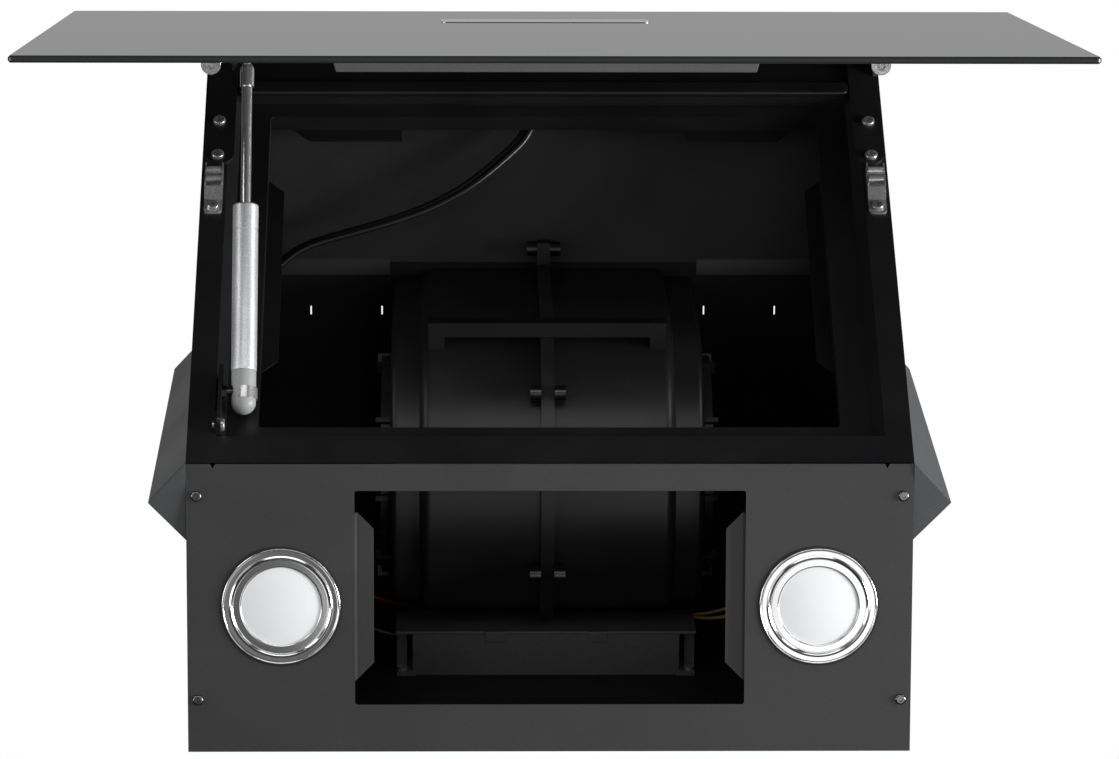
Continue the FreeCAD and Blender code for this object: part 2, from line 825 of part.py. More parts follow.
def lamp_housings():
    """A can behind each lens, with two spring clips that hold it against the plate."""
    cans = []
    for x in (-lamp_x, lamp_x):
        can = upright_rod(lamp_can_r, x, lamp_along, -lamp_can_depth, -sheet)
        hollow = upright_rod(lamp_can_r - lamp_can_wall, x, lamp_along,
                             -lamp_can_depth + lamp_can_wall, overrun)
        can = can.cut(hollow)
        shelf_low = -lamp_lens_depth - lamp_can_wall
        shelf_in = lamp_lens_r - lamp_can_wall
        shelf_out = lamp_lens_r + seat_gap
        shelf = turned([(shelf_in, shelf_low), (lamp_can_r, shelf_low), (lamp_can_r, -sheet),
                        (shelf_out, -sheet), (shelf_out, -lamp_lens_depth), (shelf_in, -lamp_lens_depth)],
                       x, lamp_along)
        clips = []
        for side in (-1, 1):
            start = lamp_can_r - lamp_can_wall
            arm = [(start, -lamp_clip_rise), (start + lamp_clip_reach, -sheet - lamp_clip_sheet),
                   (start + lamp_clip_reach, -sheet), (start, -lamp_clip_rise + lamp_clip_sheet)]
            points = [vec(x - lamp_clip_width / 2, lamp_along + side * a, b) for a, b in arm]
            clip = Part.Face(Part.makePolygon(points + points[:1]))
            clips.append(clip.extrude(vec(lamp_clip_width, 0, 0)))
        cans.append(placed(fused([can, shelf] + clips), plate_frame))
    return Part.makeCompound(cans)


# Hinge of the glass
def capsule_plate(x0, x1, t0, t1, n0, n1, radius):
    """A plate on the face whose lower corners are rounded."""
    plate = block(x0, x1, t0, t1, n0, n1)
    low = [e for e in plate.Edges if abs(e.BoundBox.ZLength - (n1 - n0)) < sheet * same_length_share
           and e.BoundBox.YMax < (t0 + t1) / 2]
    return plate.makeFillet(radius, low)


def ear(x0, x1, foot_low, foot_high, foot_n, t, n, radius, bore_r):
    """An upright plate with a rounded end about a pivot, standing on a foot."""
    plate = side_profile([(foot_low, foot_n), (foot_high, foot_n), (t + radius, n), (t - radius, n)], x0, x1)
    shape = plate.fuse(across_rod(radius, x0, x1, t, n)).removeSplitter()
    return shape.cut(across_rod(bore_r, x0 - overrun, x1 + overrun, t, n))


def hinge_arm():
    """Bracket on the frame's rim whose ear carries the glass's hinge pin."""
    x0 = arm_outer - arm_width
    plate = capsule_plate(x0, arm_outer, arm_low, arm_high, 0, arm_plate, arm_width / 2 - running_gap)
    for t in (arm_screw_low, arm_screw_high):
        plate = plate.cut(upright_rod(pan_shank_r + screw_clearance, arm_screw_x, t, -overrun,
                                      arm_plate + overrun))
    standing = ear(arm_outer - ear_plate, arm_outer, arm_high - ear_foot, arm_high, 0, hinge_t, hinge_n,
                   ear_r, pin_r + running_gap)
    return placed(plate.fuse(standing).removeSplitter(), face_frame)


def swung_open(shape):
    """Turns a piece modelled with the glass closed to where it is with the glass open."""
    moved = placed(shape, face_frame)
    moved.rotate(on_face(0, hinge_t, hinge_n), across, -open_angle)
    return moved


def hinge_leaf():
    """Plate on the back of the glass with the ear that the pin goes through."""
    outer = arm_outer - ear_plate - leaf_gap
    base = block(outer - leaf_base_width, outer, leaf_low, leaf_high, glass_gap - leaf_plate, glass_gap)
    corners = [e for e in base.Edges if e.BoundBox.ZLength > leaf_plate / 2]
    base = base.makeFillet(opening_corner_r, corners)
    standing = ear(outer - leaf_plate, outer, hinge_t - ear_foot / 2, hinge_t + ear_foot / 2,
                   glass_gap, hinge_t, hinge_n, ear_r, pin_r)
    return swung_open(base.fuse(standing).removeSplitter())


def hinge_pin():
    start = arm_outer - ear_plate - leaf_gap - leaf_plate
    end = arm_outer + leaf_gap
    shank = across_rod(pin_r, start, end, hinge_t, hinge_n)
    inner_head = across_rod(pin_head_r, start - pin_head, start, hinge_t, hinge_n)
    clip = across_rod(pin_head_r, end, end + pin_head / 2, hinge_t, hinge_n)
    return swung_open(fused([shank, inner_head, clip]))


# Glass panel and what rides on it
def glass_panel():
    glass_high = hinge_t + glass_overhang
    pane = rounded_block(-glass_width / 2, glass_width / 2, glass_high - glass_length, glass_high,
                         glass_gap, glass_gap + glass_thick, glass_corner_r)
    rims = [e for e in pane.Edges if e.BoundBox.ZLength < glass_thick / 2]
    return swung_open(pane.makeChamfer(glass_bevel, rims))


def frustum(half_foot, half_face, low, high, slope, foot_n, face_n):
    """A box that narrows from its foot to its face."""
    foot = [vec(-half_foot, low, foot_n), vec(half_foot, low, foot_n), vec(half_foot, high, foot_n),
            vec(-half_foot, high, foot_n)]
    face = [vec(-half_face, low + slope, face_n), vec(half_face, low + slope, face_n),
            vec(half_face, high - slope, face_n), vec(-half_face, high - slope, face_n)]
    wires = [Part.makePolygon(ring + ring[:1]) for ring in (foot, face)]
    return Part.makeLoft(wires, True, True)


def control_housing():
    """The tray behind the glass that covers the touch board."""
    outer = frustum(pod_half_foot, pod_half_face, pod_low, pod_high, pod_end_slope,
                    glass_gap, glass_gap - pod_depth)
    inner = frustum(pod_half_foot - pod_wall, pod_half_face - pod_wall, pod_low + pod_wall,
                    pod_high - pod_wall, pod_end_slope, glass_gap, glass_gap - pod_depth + pod_wall)
    return swung_open(outer.cut(inner))


def control_board():
    """The touch board inside the housing, lying on the glass."""
    edge = pod_wall + pod_end_slope
    board = block(-pod_half_face + edge, pod_half_face - edge, pod_low + edge, pod_high - edge,
                  glass_gap - pod_wall, glass_gap)
    return swung_open(board)


def control_window():
    """The plain lighter field on the outside of the glass over the touch keys."""
    top = glass_gap + glass_thick
    return swung_open(rounded_block(-window_half, window_half, window_low, window_high, top,
                                    top + window_thick, opening_corner_r))


def striker():
    """A rounded tongue with a sunk rivet, on a foot, which goes between the catch's two rollers."""
    low = catch_t - tongue_thick / 2
    high = catch_t + tongue_thick / 2
    tip = tongue_tip_n + tongue_half
    tongue = block(catch_x - tongue_half, catch_x + tongue_half, low, high, tip, glass_gap)
    nose = drum(tongue_half, vec(catch_x, low, tip), tongue_thick, along)
    dish = drum(tongue_dish_r, vec(catch_x, low - overrun, tip), tongue_dish + overrun, along)
    dish = dish.cut(drum(tongue_rivet_r, vec(catch_x, low - overrun, tip), tongue_dish + overrun, along))
    foot = block(catch_x - tongue_half, catch_x + tongue_half, low - striker_foot_low, high,
                 glass_gap - striker_foot, glass_gap)
    return fused([tongue, nose, foot]).cut(dish)


def catch_strikers():
    piece = swung_open(striker())
    return Part.makeCompound([mirrored(piece), piece])


def striker_screws():
    """A low screw on each striker's foot."""
    seat = glass_gap - striker_foot
    t = catch_t - striker_screw_drop
    head = upright_rod(striker_screw_head_r, catch_x, t, seat - striker_screw_head, seat)
    slot = cross_slot(catch_x, t, seat - striker_screw_head, 0, cross_span, cross_width)
    slot.translate(vec(0, 0, -overrun + cross_depth / 2))
    piece = swung_open(head.cut(slot))
    return Part.makeCompound([mirrored(piece), piece])


# Roller catches on the rim
def catch_body():
    x0 = catch_x - catch_width / 2
    x1 = catch_x + catch_width / 2
    base = rounded_block(x0, x1, catch_low, catch_high, 0, catch_plate, opening_corner_r)
    base = base.cut(upright_rod(pan_shank_r + screw_clearance, catch_x, catch_screw_t, -overrun,
                                catch_plate + overrun))
    slope = side_profile([(catch_slope_low, catch_plate), (catch_slope_high, catch_slope_n),
                          (catch_cheek_low, catch_slope_n), (catch_cheek_low, catch_plate)], x0, x1)
    pieces = [base, slope]
    mid_slot = block(x0 - overrun, x1 + overrun, catch_t - cheek_slot / 2, catch_t + cheek_slot / 2,
                     catch_plate, catch_cheek_height + overrun)
    for a in (x0, x1 - cheek_sheet):
        cheek = block(a, a + cheek_sheet, catch_cheek_low, catch_high - opening_corner_r, 0,
                      catch_cheek_height)
        for t, way in ((catch_t - roller_pitch / 2, -1), (catch_t + roller_pitch / 2, 1)):
            far = t + way * roller_travel
            slot_r = roller_pin_r + running_gap
            cheek = less(cheek, [across_rod(slot_r, a - overrun, a + cheek_sheet + overrun, t, roller_n),
                                 across_rod(slot_r, a - overrun, a + cheek_sheet + overrun, far, roller_n),
                                 block(a - overrun, a + cheek_sheet + overrun, min(t, far), max(t, far),
                                       roller_n - slot_r, roller_n + slot_r)])
        pieces.append(cheek.cut(mid_slot))
    return placed(fused(pieces), face_frame)


def catch_roller(way):
    """One sprung roller on its pin; way is -1 for the lower roller and 1 for the upper one."""
    t = catch_t + way * roller_pitch / 2
    inside = catch_width / 2 - cheek_sheet - roller_side_gap
    wheel = across_rod(roller_r, catch_x - inside, catch_x + inside, t, roller_n)
    pin = across_rod(roller_pin_r, catch_x - catch_width / 2, catch_x + catch_width / 2, t, roller_n)
    return placed(wheel.fuse(pin).removeSplitter(), face_frame)


def pan_screws():
    """The cross-head screws of the hinge arms, the catches and the strut's foot."""
    screws = [pan_screw(arm_screw_x, t, arm_plate, pan_shank) for t in (arm_screw_low, arm_screw_high)]
    screws.append(pan_screw(catch_x, catch_screw_t, catch_plate, pan_shank))
    screws = [placed(s, face_frame) for s in screws]
    lying = FreeCAD.Placement(vec(-foot_plate_out + foot_plate, foot_screw_t, foot_screw_n),
                              FreeCAD.Rotation(along, 90))
    foot_screw = placed(pan_screw(0, 0, 0, foot_shank), face_frame.multiply(lying))
    return Part.makeCompound(screws + [mirrored(s) for s in screws] + [foot_screw])


# Gas strut, drawn along its own axis and then laid between its two ball studs
def strut_geometry():
    """Rest angle and length, and closed angle and length, between the foot ball and the eye."""
    closed_t = strut_eye_t - strut_foot_t
    closed_n = strut_eye_n - strut_foot_n
    a = math.radians(open_angle)
    arm_t = strut_eye_t - hinge_t
    arm_n = strut_eye_n - hinge_n
    open_t = hinge_t + arm_t * math.cos(a) + arm_n * math.sin(a) - strut_foot_t
    open_n = hinge_n - arm_t * math.sin(a) + arm_n * math.cos(a) - strut_foot_n
    return (math.degrees(math.atan2(open_n, open_t)), math.hypot(open_t, open_n),
            math.degrees(math.atan2(closed_n, closed_t)), math.hypot(closed_t, closed_n))


def along_strut(shape):
    """Lays a piece drawn along +Y onto the strut's axis with the glass open."""
    angle = strut_geometry()[0]
    local = FreeCAD.Placement(vec(strut_x, strut_foot_t, strut_foot_n), FreeCAD.Rotation(across, angle))
    return placed(shape, face_frame.multiply(local))


def strut_rod_shape(radius, start, end):
    return drum(radius, vec(0, start, 0), end - start, along)


def strut_cylinder():
    start = strut_tube_start
    end = start + strut_tube_length
    tube = strut_rod_shape(strut_tube_r, start, end)
    ends = [e for e in tube.Edges if e.BoundBox.YLength < strut_groove]
    tube = tube.makeFillet(strut_tube_wall, ends)
    bore = strut_rod_shape(strut_tube_r - strut_tube_wall, start + strut_tube_cap, end - strut_tube_cap)
    guide = strut_rod_shape(strut_rod_r + running_gap, end - strut_tube_cap - overrun, end + overrun)
    at = start + strut_groove_at
    past = at + 2 * strut_groove
    band = strut_rod_shape(strut_tube_r + overrun, at, past)
    band = band.cut(strut_rod_shape(strut_tube_r - strut_groove, at - overrun, past + overrun))
    return along_strut(less(tube, [bore, guide, band]))


def strut_mouth():
    """Room for the foot ball's neck on the side of the bracket."""
    return across_rod(strut_mouth_r, -strut_clip_r - overrun, 0, 0, 0)


def socket_body(grow):
    """The outside of the plastic end, moved outward by grow."""
    body = strut_rod_shape(strut_socket_r + grow, -strut_socket_tail, strut_tube_start)
    end = Part.makeSphere(strut_socket_r + grow, vec(0, -strut_socket_tail, 0))
    return body.fuse(end).removeSplitter()


def strut_socket():
    """Plastic end that snaps over the foot's ball, open towards the bracket."""
    cavity = Part.makeSphere(strut_ball_r + running_gap, vec(0, 0, 0))
    return along_strut(less(socket_body(0), [cavity, strut_mouth()]))


def strut_clip():
    """Steel band round the socket, open at the ball's neck, with a leg down the front of the socket."""
    band = strut_rod_shape(strut_clip_r, strut_clip_low, strut_clip_high)
    opening = block(-strut_clip_r - overrun, -strut_clip_open, strut_clip_low - overrun,
                    strut_clip_high + overrun, -strut_clip_r - overrun, strut_clip_r + overrun)
    band = less(band, [strut_rod_shape(strut_socket_r, strut_clip_low - overrun, strut_clip_high + overrun),
                       opening])
    near = [(x + strut_leg_width, y) for x, y in strut_leg_line]
    strip = flat_profile(strut_leg_line + near[::-1], 0, strut_clip_r)
    leg = strip.common(socket_body(strut_leg_proud)).cut(socket_body(0))
    return along_strut(band.fuse(leg).removeSplitter())


def strut_rod():
    """Piston rod with its piston, from inside the cylinder to the eye."""
    length = strut_geometry()[1]
    start = length - strut_rod_length
    rod = strut_rod_shape(strut_rod_r, start, length - strut_end_below)
    piston_r = strut_tube_r - strut_tube_wall - running_gap
    piston = strut_rod_shape(piston_r, start, start + strut_piston_length)
    return along_strut(rod.fuse(piston).removeSplitter())


def strut_eye():
    """Sleeve on the rod's end that narrows to a flat eye, with a hole across it for the glass's stud."""
    length = strut_geometry()[1]
    cone_start = length - strut_end_stop - strut_end_cone
    sleeve = strut_rod_shape(strut_end_r, length - strut_end_below, cone_start)
    cone = Part.makeCone(strut_end_r, strut_end_cone_r, strut_end_cone, vec(0, cone_start, 0), along)
    tip = across_rod(strut_eye_r, -strut_eye_half, strut_eye_half, length, 0)
    bore = across_rod(stud_r + running_gap, -strut_eye_half - overrun, strut_eye_half + overrun, length, 0)
    return along_strut(fused([sleeve, cone, tip]).cut(bore))


def strut_foot_bracket():
    """Steel plate that stands against the frame's tab and on the slope beside it."""
    x0 = -foot_plate_out
    x1 = x0 + foot_plate
    ring = [(x0, foot_plate_proud), (x0, recess_slope(x0)), (x1, recess_slope(x1)), (x1, foot_plate_proud)]
    low = [vec(x, foot_plate_low, n) for x, n in ring]
    plate = Part.Face(Part.makePolygon(low + low[:1])).extrude(vec(0, foot_plate_high - foot_plate_low, 0))
    tips = [e for e in plate.Edges if abs(e.BoundBox.XLength - foot_plate) < sheet * same_length_share
            and e.BoundBox.ZMin > foot_plate_proud / 2]
    plate = plate.makeFillet(opening_corner_r, tips)
    hole_r = pan_shank_r + screw_clearance
    holes = [across_rod(hole_r, x0 - overrun, x1 + overrun, foot_screw_t, foot_screw_n),
             across_rod(strut_neck_r, x0 - overrun, x1 + overrun, strut_foot_t, strut_foot_n)]
    return placed(less(plate, holes), face_frame)


def strut_foot_ball():
    """The ball on its neck, with the hexagon that it is screwed down by."""
    x0 = -foot_plate_out
    neck = across_rod(strut_neck_r, x0, strut_x, strut_foot_t, strut_foot_n)
    corners = [math.radians(360 * i / hex_sides) for i in range(hex_sides)]
    hexagon = [(strut_foot_t + foot_nut_r * math.cos(a), strut_foot_n + foot_nut_r * math.sin(a))
               for a in corners]
    nut = side_profile(hexagon, x0 + foot_plate, x0 + foot_plate + foot_nut)
    ball = Part.makeSphere(strut_ball_r, vec(strut_x, strut_foot_t, strut_foot_n))
    return placed(fused([neck, nut, ball]), face_frame)


def strut_top_bracket():
    """Bracket on the back of the glass whose stud stops just clear of the strut's end sleeve."""
    stop = strut_x - strut_end_r - seat_gap
    x1 = stop - 2 * stud_collar
    x0 = x1 - top_plate
    plate = ear(x0, x1, strut_eye_t - top_plate_foot / 2, strut_eye_t + top_plate_foot / 2, glass_gap,
                strut_eye_t, strut_eye_n, top_plate_r, stud_r)
    flange = block(x0 - top_flange, x1, strut_eye_t - top_plate_foot / 2, strut_eye_t + top_plate_foot / 2,
                   glass_gap - top_plate, glass_gap)
    stud = across_rod(stud_r, x0 - stud_collar, stop, strut_eye_t, strut_eye_n)
    collar = across_rod(stud_collar_r, x1, x1 + stud_collar, strut_eye_t, strut_eye_n)
    return swung_open(fused([plate, flange, stud, collar]))


# Blower
def snail(grow, x0, x1):
    """The blower's scroll drawn across, its walls moved outward by grow."""
    cy = blower_y
    cz = blower_z
    front = cy - blower_r - grow
    r1 = blower_r + grow
    r2 = r1 - blower_step
    r3 = r2 - blower_back_step
    z2 = cz - blower_step
    y3 = cy + blower_back_step
    bottom = vec(x0, cy, cz - r1)
    back = vec(x0, cy + r2, z2)
    a = math.radians(blower_tongue_angle)
    tongue = vec(x0, y3 + r3 * math.cos(a), z2 + r3 * math.sin(a))
    top = roof_under
    root2 = math.sqrt(0.5)
    half_a = a / 2
    edges = [
        Part.makeLine(vec(x0, front, top), vec(x0, front, cz)),
        Part.Arc(vec(x0, front, cz), vec(x0, cy - r1 * root2, cz - r1 * root2), bottom).toShape(),
        Part.Arc(bottom, vec(x0, cy + r2 * root2, z2 - r2 * root2), back).toShape(),
        Part.Arc(back, vec(x0, y3 + r3 * math.cos(half_a), z2 + r3 * math.sin(half_a)), tongue).toShape(),
        Part.makeLine(tongue, vec(x0, -blower_outlet_back + grow, top)),
        Part.makeLine(vec(x0, -blower_outlet_back + grow, top), vec(x0, front, top)),
    ]
    return Part.Face(Part.Wire(edges)).extrude(vec(x1 - x0, 0, 0))


def shouldered(solid, x, radius):
    """Rounds the scroll's edge at its outer side, all but the stretch under the roof."""
    rims = [e for e in solid.Edges if e.BoundBox.XMin > x - sheet and e.BoundBox.ZMin < roof_under - sheet]
    return solid.makeFillet(radius, rims)


def blower_half_shell():
    """One half of the moulded housing: a barrel from the split, then a lower collar to its inlet side."""
    barrel = shouldered(snail(0, 0, barrel_half), barrel_half, blower_shoulder)
    collar = shouldered(snail(-collar_step, 0, blower_half), blower_half, collar_shoulder)
    barrel_room = shouldered(snail(-blower_wall, -overrun, barrel_half - blower_wall),
                             barrel_half - blower_wall, blower_shoulder - blower_wall)
    collar_room = shouldered(snail(-collar_step - blower_wall, -overrun, blower_half - blower_wall),
                             blower_half - blower_wall, collar_shoulder - blower_wall)
    lip = snail(flange_rise, 0, flange_half)
    lip = less(lip, [snail(-overrun / 2, -overrun, blower_half), lid_room()])
    y, z = flange_places()[0]
    lug = block(0, flange_half, y - flange_boss_r, blower_y - blower_r - overrun, z - flange_boss_r,
                z + flange_boss_r)
    shell = less(fused([barrel, collar, lip, lug]), [barrel_room, collar_room])
    top_room = block(-overrun, barrel_half - blower_shoulder, blower_y - blower_r + blower_wall,
                     -blower_outlet_back - blower_wall, roof_under - blower_wall - overrun,
                     roof_under + overrun)
    inlet = across_rod(inlet_r, 0, blower_half + overrun, blower_y, blower_z)
    return less(shell, [top_room, inlet])


def lid_room():
    """Room behind the blower's flange for the electronics lid."""
    front = -sheet - box_depth - lid_plate - lid_air
    return block(-overrun, flange_half + overrun, front, 0, 0, box_high + lid_air)


def flange_places():
    """Where the screws that join the two halves sit, along the flange's outer edge."""
    out = blower_r + flange_boss_proud + flange_rise / 2
    places = [(blower_y - out - flange_boss_ahead, roof_under - flange_boss_r - flange_boss_top_gap)]
    for angle in flange_boss_angles:
        a = math.radians(angle)
        places.append((blower_y + out * math.cos(a), blower_z + out * math.sin(a)))
    return places


def blower_flange_screws():
    """Bolted bosses along the split."""
    bolts = []
    for y, z in flange_places():
        boss = across_rod(flange_boss_r, -flange_boss_half, flange_boss_half, y, z)
        between = block(-flange_half, flange_half, y - 2 * flange_boss_r, y + 2 * flange_boss_r,
                        z - 2 * flange_boss_r, z + 2 * flange_boss_r)
        bolts += less(boss, [between, snail(0, -blower_half, blower_half)]).Solids
    return Part.makeCompound(bolts)


def blower_bar():
    """The deep tie bar across the front of the housing, with a boss at each end."""
    y = blower_y - math.sqrt((blower_r + flange_rise) ** 2 - (blower_z - bar_z) ** 2) - bar_boss_r
    low = bar_z - bar_drop
    pieces = [block(-bar_half, bar_half, y - bar_ahead, y - bar_ahead + bar_deep, low, low + bar_high)]
    for side in (-1, 1):
        x0 = side * bar_half
        x1 = side * (bar_half - bar_boss_length)
        boss = across_rod(bar_boss_r, min(x0, x1), max(x0, x1), y, bar_z)
        post = block(min(x0, x1), max(x0, x1), y, blower_y - blower_r / 2, low, low + bar_high)
        pieces += [boss, post]
    return less(fused(pieces), [snail(0, -blower_half, blower_half),
                                snail(flange_rise, -flange_half, flange_half)])


def inlet_ring():
    """Mouth ring with the arms that hold the motor's bearing plate."""
    x0 = blower_half
    x1 = x0 + inlet_ring_height
    ring = across_rod(inlet_ring_r, x0, x1, blower_y, blower_z)
    ring = ring.cut(across_rod(inlet_r, x0 - overrun, x1 + overrun, blower_y, blower_z))
    arms = []
    for i in range(inlet_arm_count):
        arm = block(x0 + inlet_ring_height / 2, x1, blower_y - inlet_arm_width / 2,
                    blower_y + inlet_arm_width / 2, blower_z, blower_z + (inlet_r + inlet_ring_r) / 2)
        arm.rotate(vec(0, blower_y, blower_z), across, 360 * i / inlet_arm_count)
        arms.append(arm)
    ribs = []
    for i in range(inlet_rib_count):
        rib = block(x0, x1 + inlet_rib, blower_y - inlet_rib / 2, blower_y + inlet_rib / 2,
                    blower_z + (inlet_r + inlet_ring_r) / 2, blower_z + inlet_ring_r + inlet_rib)
        rib.rotate(vec(0, blower_y, blower_z), across, 360 * (i + 0.5) / inlet_rib_count)
        ribs.append(rib)
    hub = across_rod(inlet_hub_r, x0 + inlet_ring_height / 2, x1, blower_y, blower_z)
    bearing = across_rod(shaft_r + 2 * running_gap, x0, x1 + overrun, blower_y, blower_z)
    return fused([ring, hub] + arms + ribs).cut(bearing)


def motor():
    """Motor can held by the right-hand inlet ring, inside the right half of the fan."""
    x1 = blower_half + inlet_ring_height / 2
    x0 = x1 - motor_length
    can = across_rod(motor_r, x0 + motor_bell, x1 - motor_bell, blower_y, blower_z)
    bells = across_rod(motor_bell_r, x0, x1, blower_y, blower_z)
    bore = across_rod(shaft_r + running_gap, x0 - overrun, x1 + overrun, blower_y, blower_z)
    return can.fuse(bells).removeSplitter().cut(bore)


def fan():
    """Double-inlet fan drum on its shaft."""
    def ring(x0, x1):
        outer = across_rod(fan_r, x0, x1, blower_y, blower_z)
        return outer.cut(across_rod(fan_r - fan_ring_width, x0 - overrun, x1 + overrun, blower_y, blower_z))
    pieces = [ring(-fan_half, -fan_half + fan_ring), ring(fan_half - fan_ring, fan_half)]
    pieces.append(across_rod(fan_r, -fan_ring / 2, fan_ring / 2, blower_y, blower_z))
    pieces.append(across_rod(fan_hub_r, -fan_hub_half, fan_hub_half, blower_y, blower_z))
    end = blower_half + inlet_ring_height + shaft_past
    pieces.append(across_rod(shaft_r, -end, end, blower_y, blower_z))
    for i in range(fan_blade_count):
        blade = block(-fan_half, fan_half, -fan_blade / 2, fan_blade / 2,
                      -fan_ring_width / 2, fan_ring_width / 2)
        blade.rotate(vec(0, 0, 0), across, fan_blade_angle)
        blade.translate(vec(0, blower_y, blower_z + fan_r - fan_ring_width / 2 - fan_blade))
        blade.rotate(vec(0, blower_y, blower_z), across, 360 * i / fan_blade_count)
        pieces.append(blade)
    return fused(pieces)


# Outlet
flap_z = roof_height + flap_seat


def outlet_collar():
    """Spigot on the roof, with the stop rim and the crossbar that the flaps hang on."""
    tube = upright_rod(duct_r, 0, duct_y, roof_height, roof_height + duct_height)
    foot = upright_rod(duct_foot_r, 0, duct_y, roof_height, roof_height + duct_foot)
    inner = upright_rod(duct_r - duct_wall, 0, duct_y, roof_height - overrun,
                        roof_height + duct_height + overrun)
    shell = tube.fuse(foot).removeSplitter().cut(inner)
    reach = duct_r - duct_wall
    stop = upright_rod(reach, 0, duct_y, flap_z - flap_stop, flap_z)
    stop = stop.cut(upright_rod(reach - flap_stop_width, 0, duct_y, flap_z - flap_stop - overrun,
                                flap_z + overrun))
    bar = block(-reach, reach, duct_y - flap_apart / 2, duct_y + flap_apart / 2, flap_z - flap_stop, flap_z)
    room = upright_rod(duct_r - duct_wall / 2, 0, duct_y, flap_z - flap_stop, flap_z)
    pins = []
    for side in (-1, 1):
        y = duct_y + side * (flap_apart + flap_knuckle_r)
        pin = across_rod(flap_pin_r, -reach, reach, y, flap_z + flap_knuckle_r + seat_gap)
        within = upright_rod(duct_r - duct_wall / 2, 0, duct_y, roof_height, roof_height + duct_height)
        pins.append(pin.common(within))
    return fused([shell, stop, bar.common(room)] + pins)


def outlet_flap(side):
    """Half-round non-return flap that lies on the stop rim and swings up on its pin."""
    pivot_y = duct_y + side * (flap_apart + flap_knuckle_r)
    pivot_z = flap_z + flap_knuckle_r + seat_gap
    low = flap_z + seat_gap
    disc = upright_rod(duct_r - duct_wall - flap_clear, 0, duct_y, low, low + flap_sheet)
    span = 2 * duct_r
    keep_from = min(pivot_y, pivot_y + side * span)
    disc = disc.common(block(-span, span, keep_from, keep_from + span, low - overrun, low + span))
    reach = (duct_r - duct_wall - flap_clear) * flap_knuckle_share
    knuckle = across_rod(flap_knuckle_r, -reach, reach, pivot_y, pivot_z)
    shape = disc.fuse(knuckle).removeSplitter()
    return shape.cut(across_rod(flap_pin_r + running_gap, -span, span, pivot_y, pivot_z))


# Electronics
def electronics_box():
    """Open moulded box on the back panel, with a post and a screwed foot beyond each end."""
    back = -sheet
    outer = block(-box_half, box_half, back - box_depth, back, box_low, box_high)
    inner = block(-box_half + box_wall, box_half - box_wall, back - box_depth - overrun, back - box_wall,
                  box_low + box_wall, box_high - box_wall)
    pieces = [outer.cut(inner)]
    for side in (-1, 1):
        middle = side * (box_half + lug_apart + lug_width / 2)
        post = block(middle - lug_width / 2, middle + lug_width / 2, back - box_depth, back,
                     box_low + lug_post_rise, box_high - lug_post_drop)
        inner_end = side * (box_half - box_wall)
        outer_end = middle + side * lug_width / 2
        foot = block(min(inner_end, outer_end), max(inner_end, outer_end), back - lug_plate, back,
                     box_low - lug_low, box_high - lug_post_drop)
        hole = drum(box_screw_r, vec(middle, back - box_depth, box_low + lug_screw_rise),
                    box_depth + overrun, along)
        pieces += [post, foot.cut(hole)]
    return fused(pieces)


def electronics_lid():
    """Flat cover over the box and its posts, notched at the top, with two clips under the box."""
    back = -sheet - box_depth
    lid = block(-lid_half, lid_half, back - lid_plate, back, box_low, box_high)
    notch = drum(lid_notch_r, vec(0, back - lid_plate - overrun, box_high), lid_plate + 2 * overrun, along)
    clips = [block(at - lid_clip_half, at + lid_clip_half, back - lid_plate, back + lid_clip_reach,
                   box_low - lid_clip, box_low) for at in lid_clip_x]
    return fused([lid.cut(notch)] + clips)


def electronics_screws():
    """A screw through each foot of the box into the back panel's face."""
    screws = []
    face = -sheet - lug_plate
    for side in (-1, 1):
        x = side * (box_half + lug_apart + lug_width / 2)
        z = box_low + lug_screw_rise
        head = drum(box_screw_head_r, vec(x, face - box_screw_head, z), box_screw_head, along)
        shank = drum(box_screw_r, vec(x, face, z), lug_plate, along)
        screws.append(head.fuse(shank).removeSplitter())
    return Part.makeCompound(screws)


# Wires
def wire_along(route, radius):
    """A round wire along straight runs joined by tangent arcs."""
    points = [vec(*p) for p in route]
    edges = []
    start = points[0]
    for i in range(1, len(points) - 1):
        before = points[i - 1] - points[i]
        after = points[i + 1] - points[i]
        turn = math.pi - before.getAngle(after)
        cut = wire_bend_share * min(before.Length, after.Length)
        radius_of_bend = cut / math.tan(turn / 2)
        into = points[i] + before * (cut / before.Length)
        out = points[i] + after * (cut / after.Length)
        towards = before * (1 / before.Length) + after * (1 / after.Length)
        towards.normalize()
        centre_far = radius_of_bend / math.cos(turn / 2)
        middle = points[i] + towards * (centre_far - radius_of_bend)
        edges.append(Part.LineSegment(start, into).toShape())
        edges.append(Part.Arc(into, middle, out).toShape())
        start = out
    edges.append(Part.LineSegment(start, points[-1]).toShape())
    path = Part.Wire(edges)
    direction = points[1] - points[0]
    ring = Part.Wire(Part.makeCircle(radius, points[0], direction))
    return path.makePipeShell([ring], True, False)


def second_lead_route():
    """The first lead's points, moved aside by a distance that changes evenly along it."""
    last = len(lead_route) - 1
    shifted = []
    for i, place in enumerate(lead_route):
        share = i / last
        apart = [a + (b - a) * share for a, b in zip(lead_apart_start, lead_apart_end)]
        shifted.append(tuple(p + a for p, a in zip(place, apart)))
    return shifted


def control_leads():
    """The two black leads from the touch board to the electronics."""
    return Part.makeCompound([wire_along(lead_route, cable_r), wire_along(second_lead_route(), cable_r)])


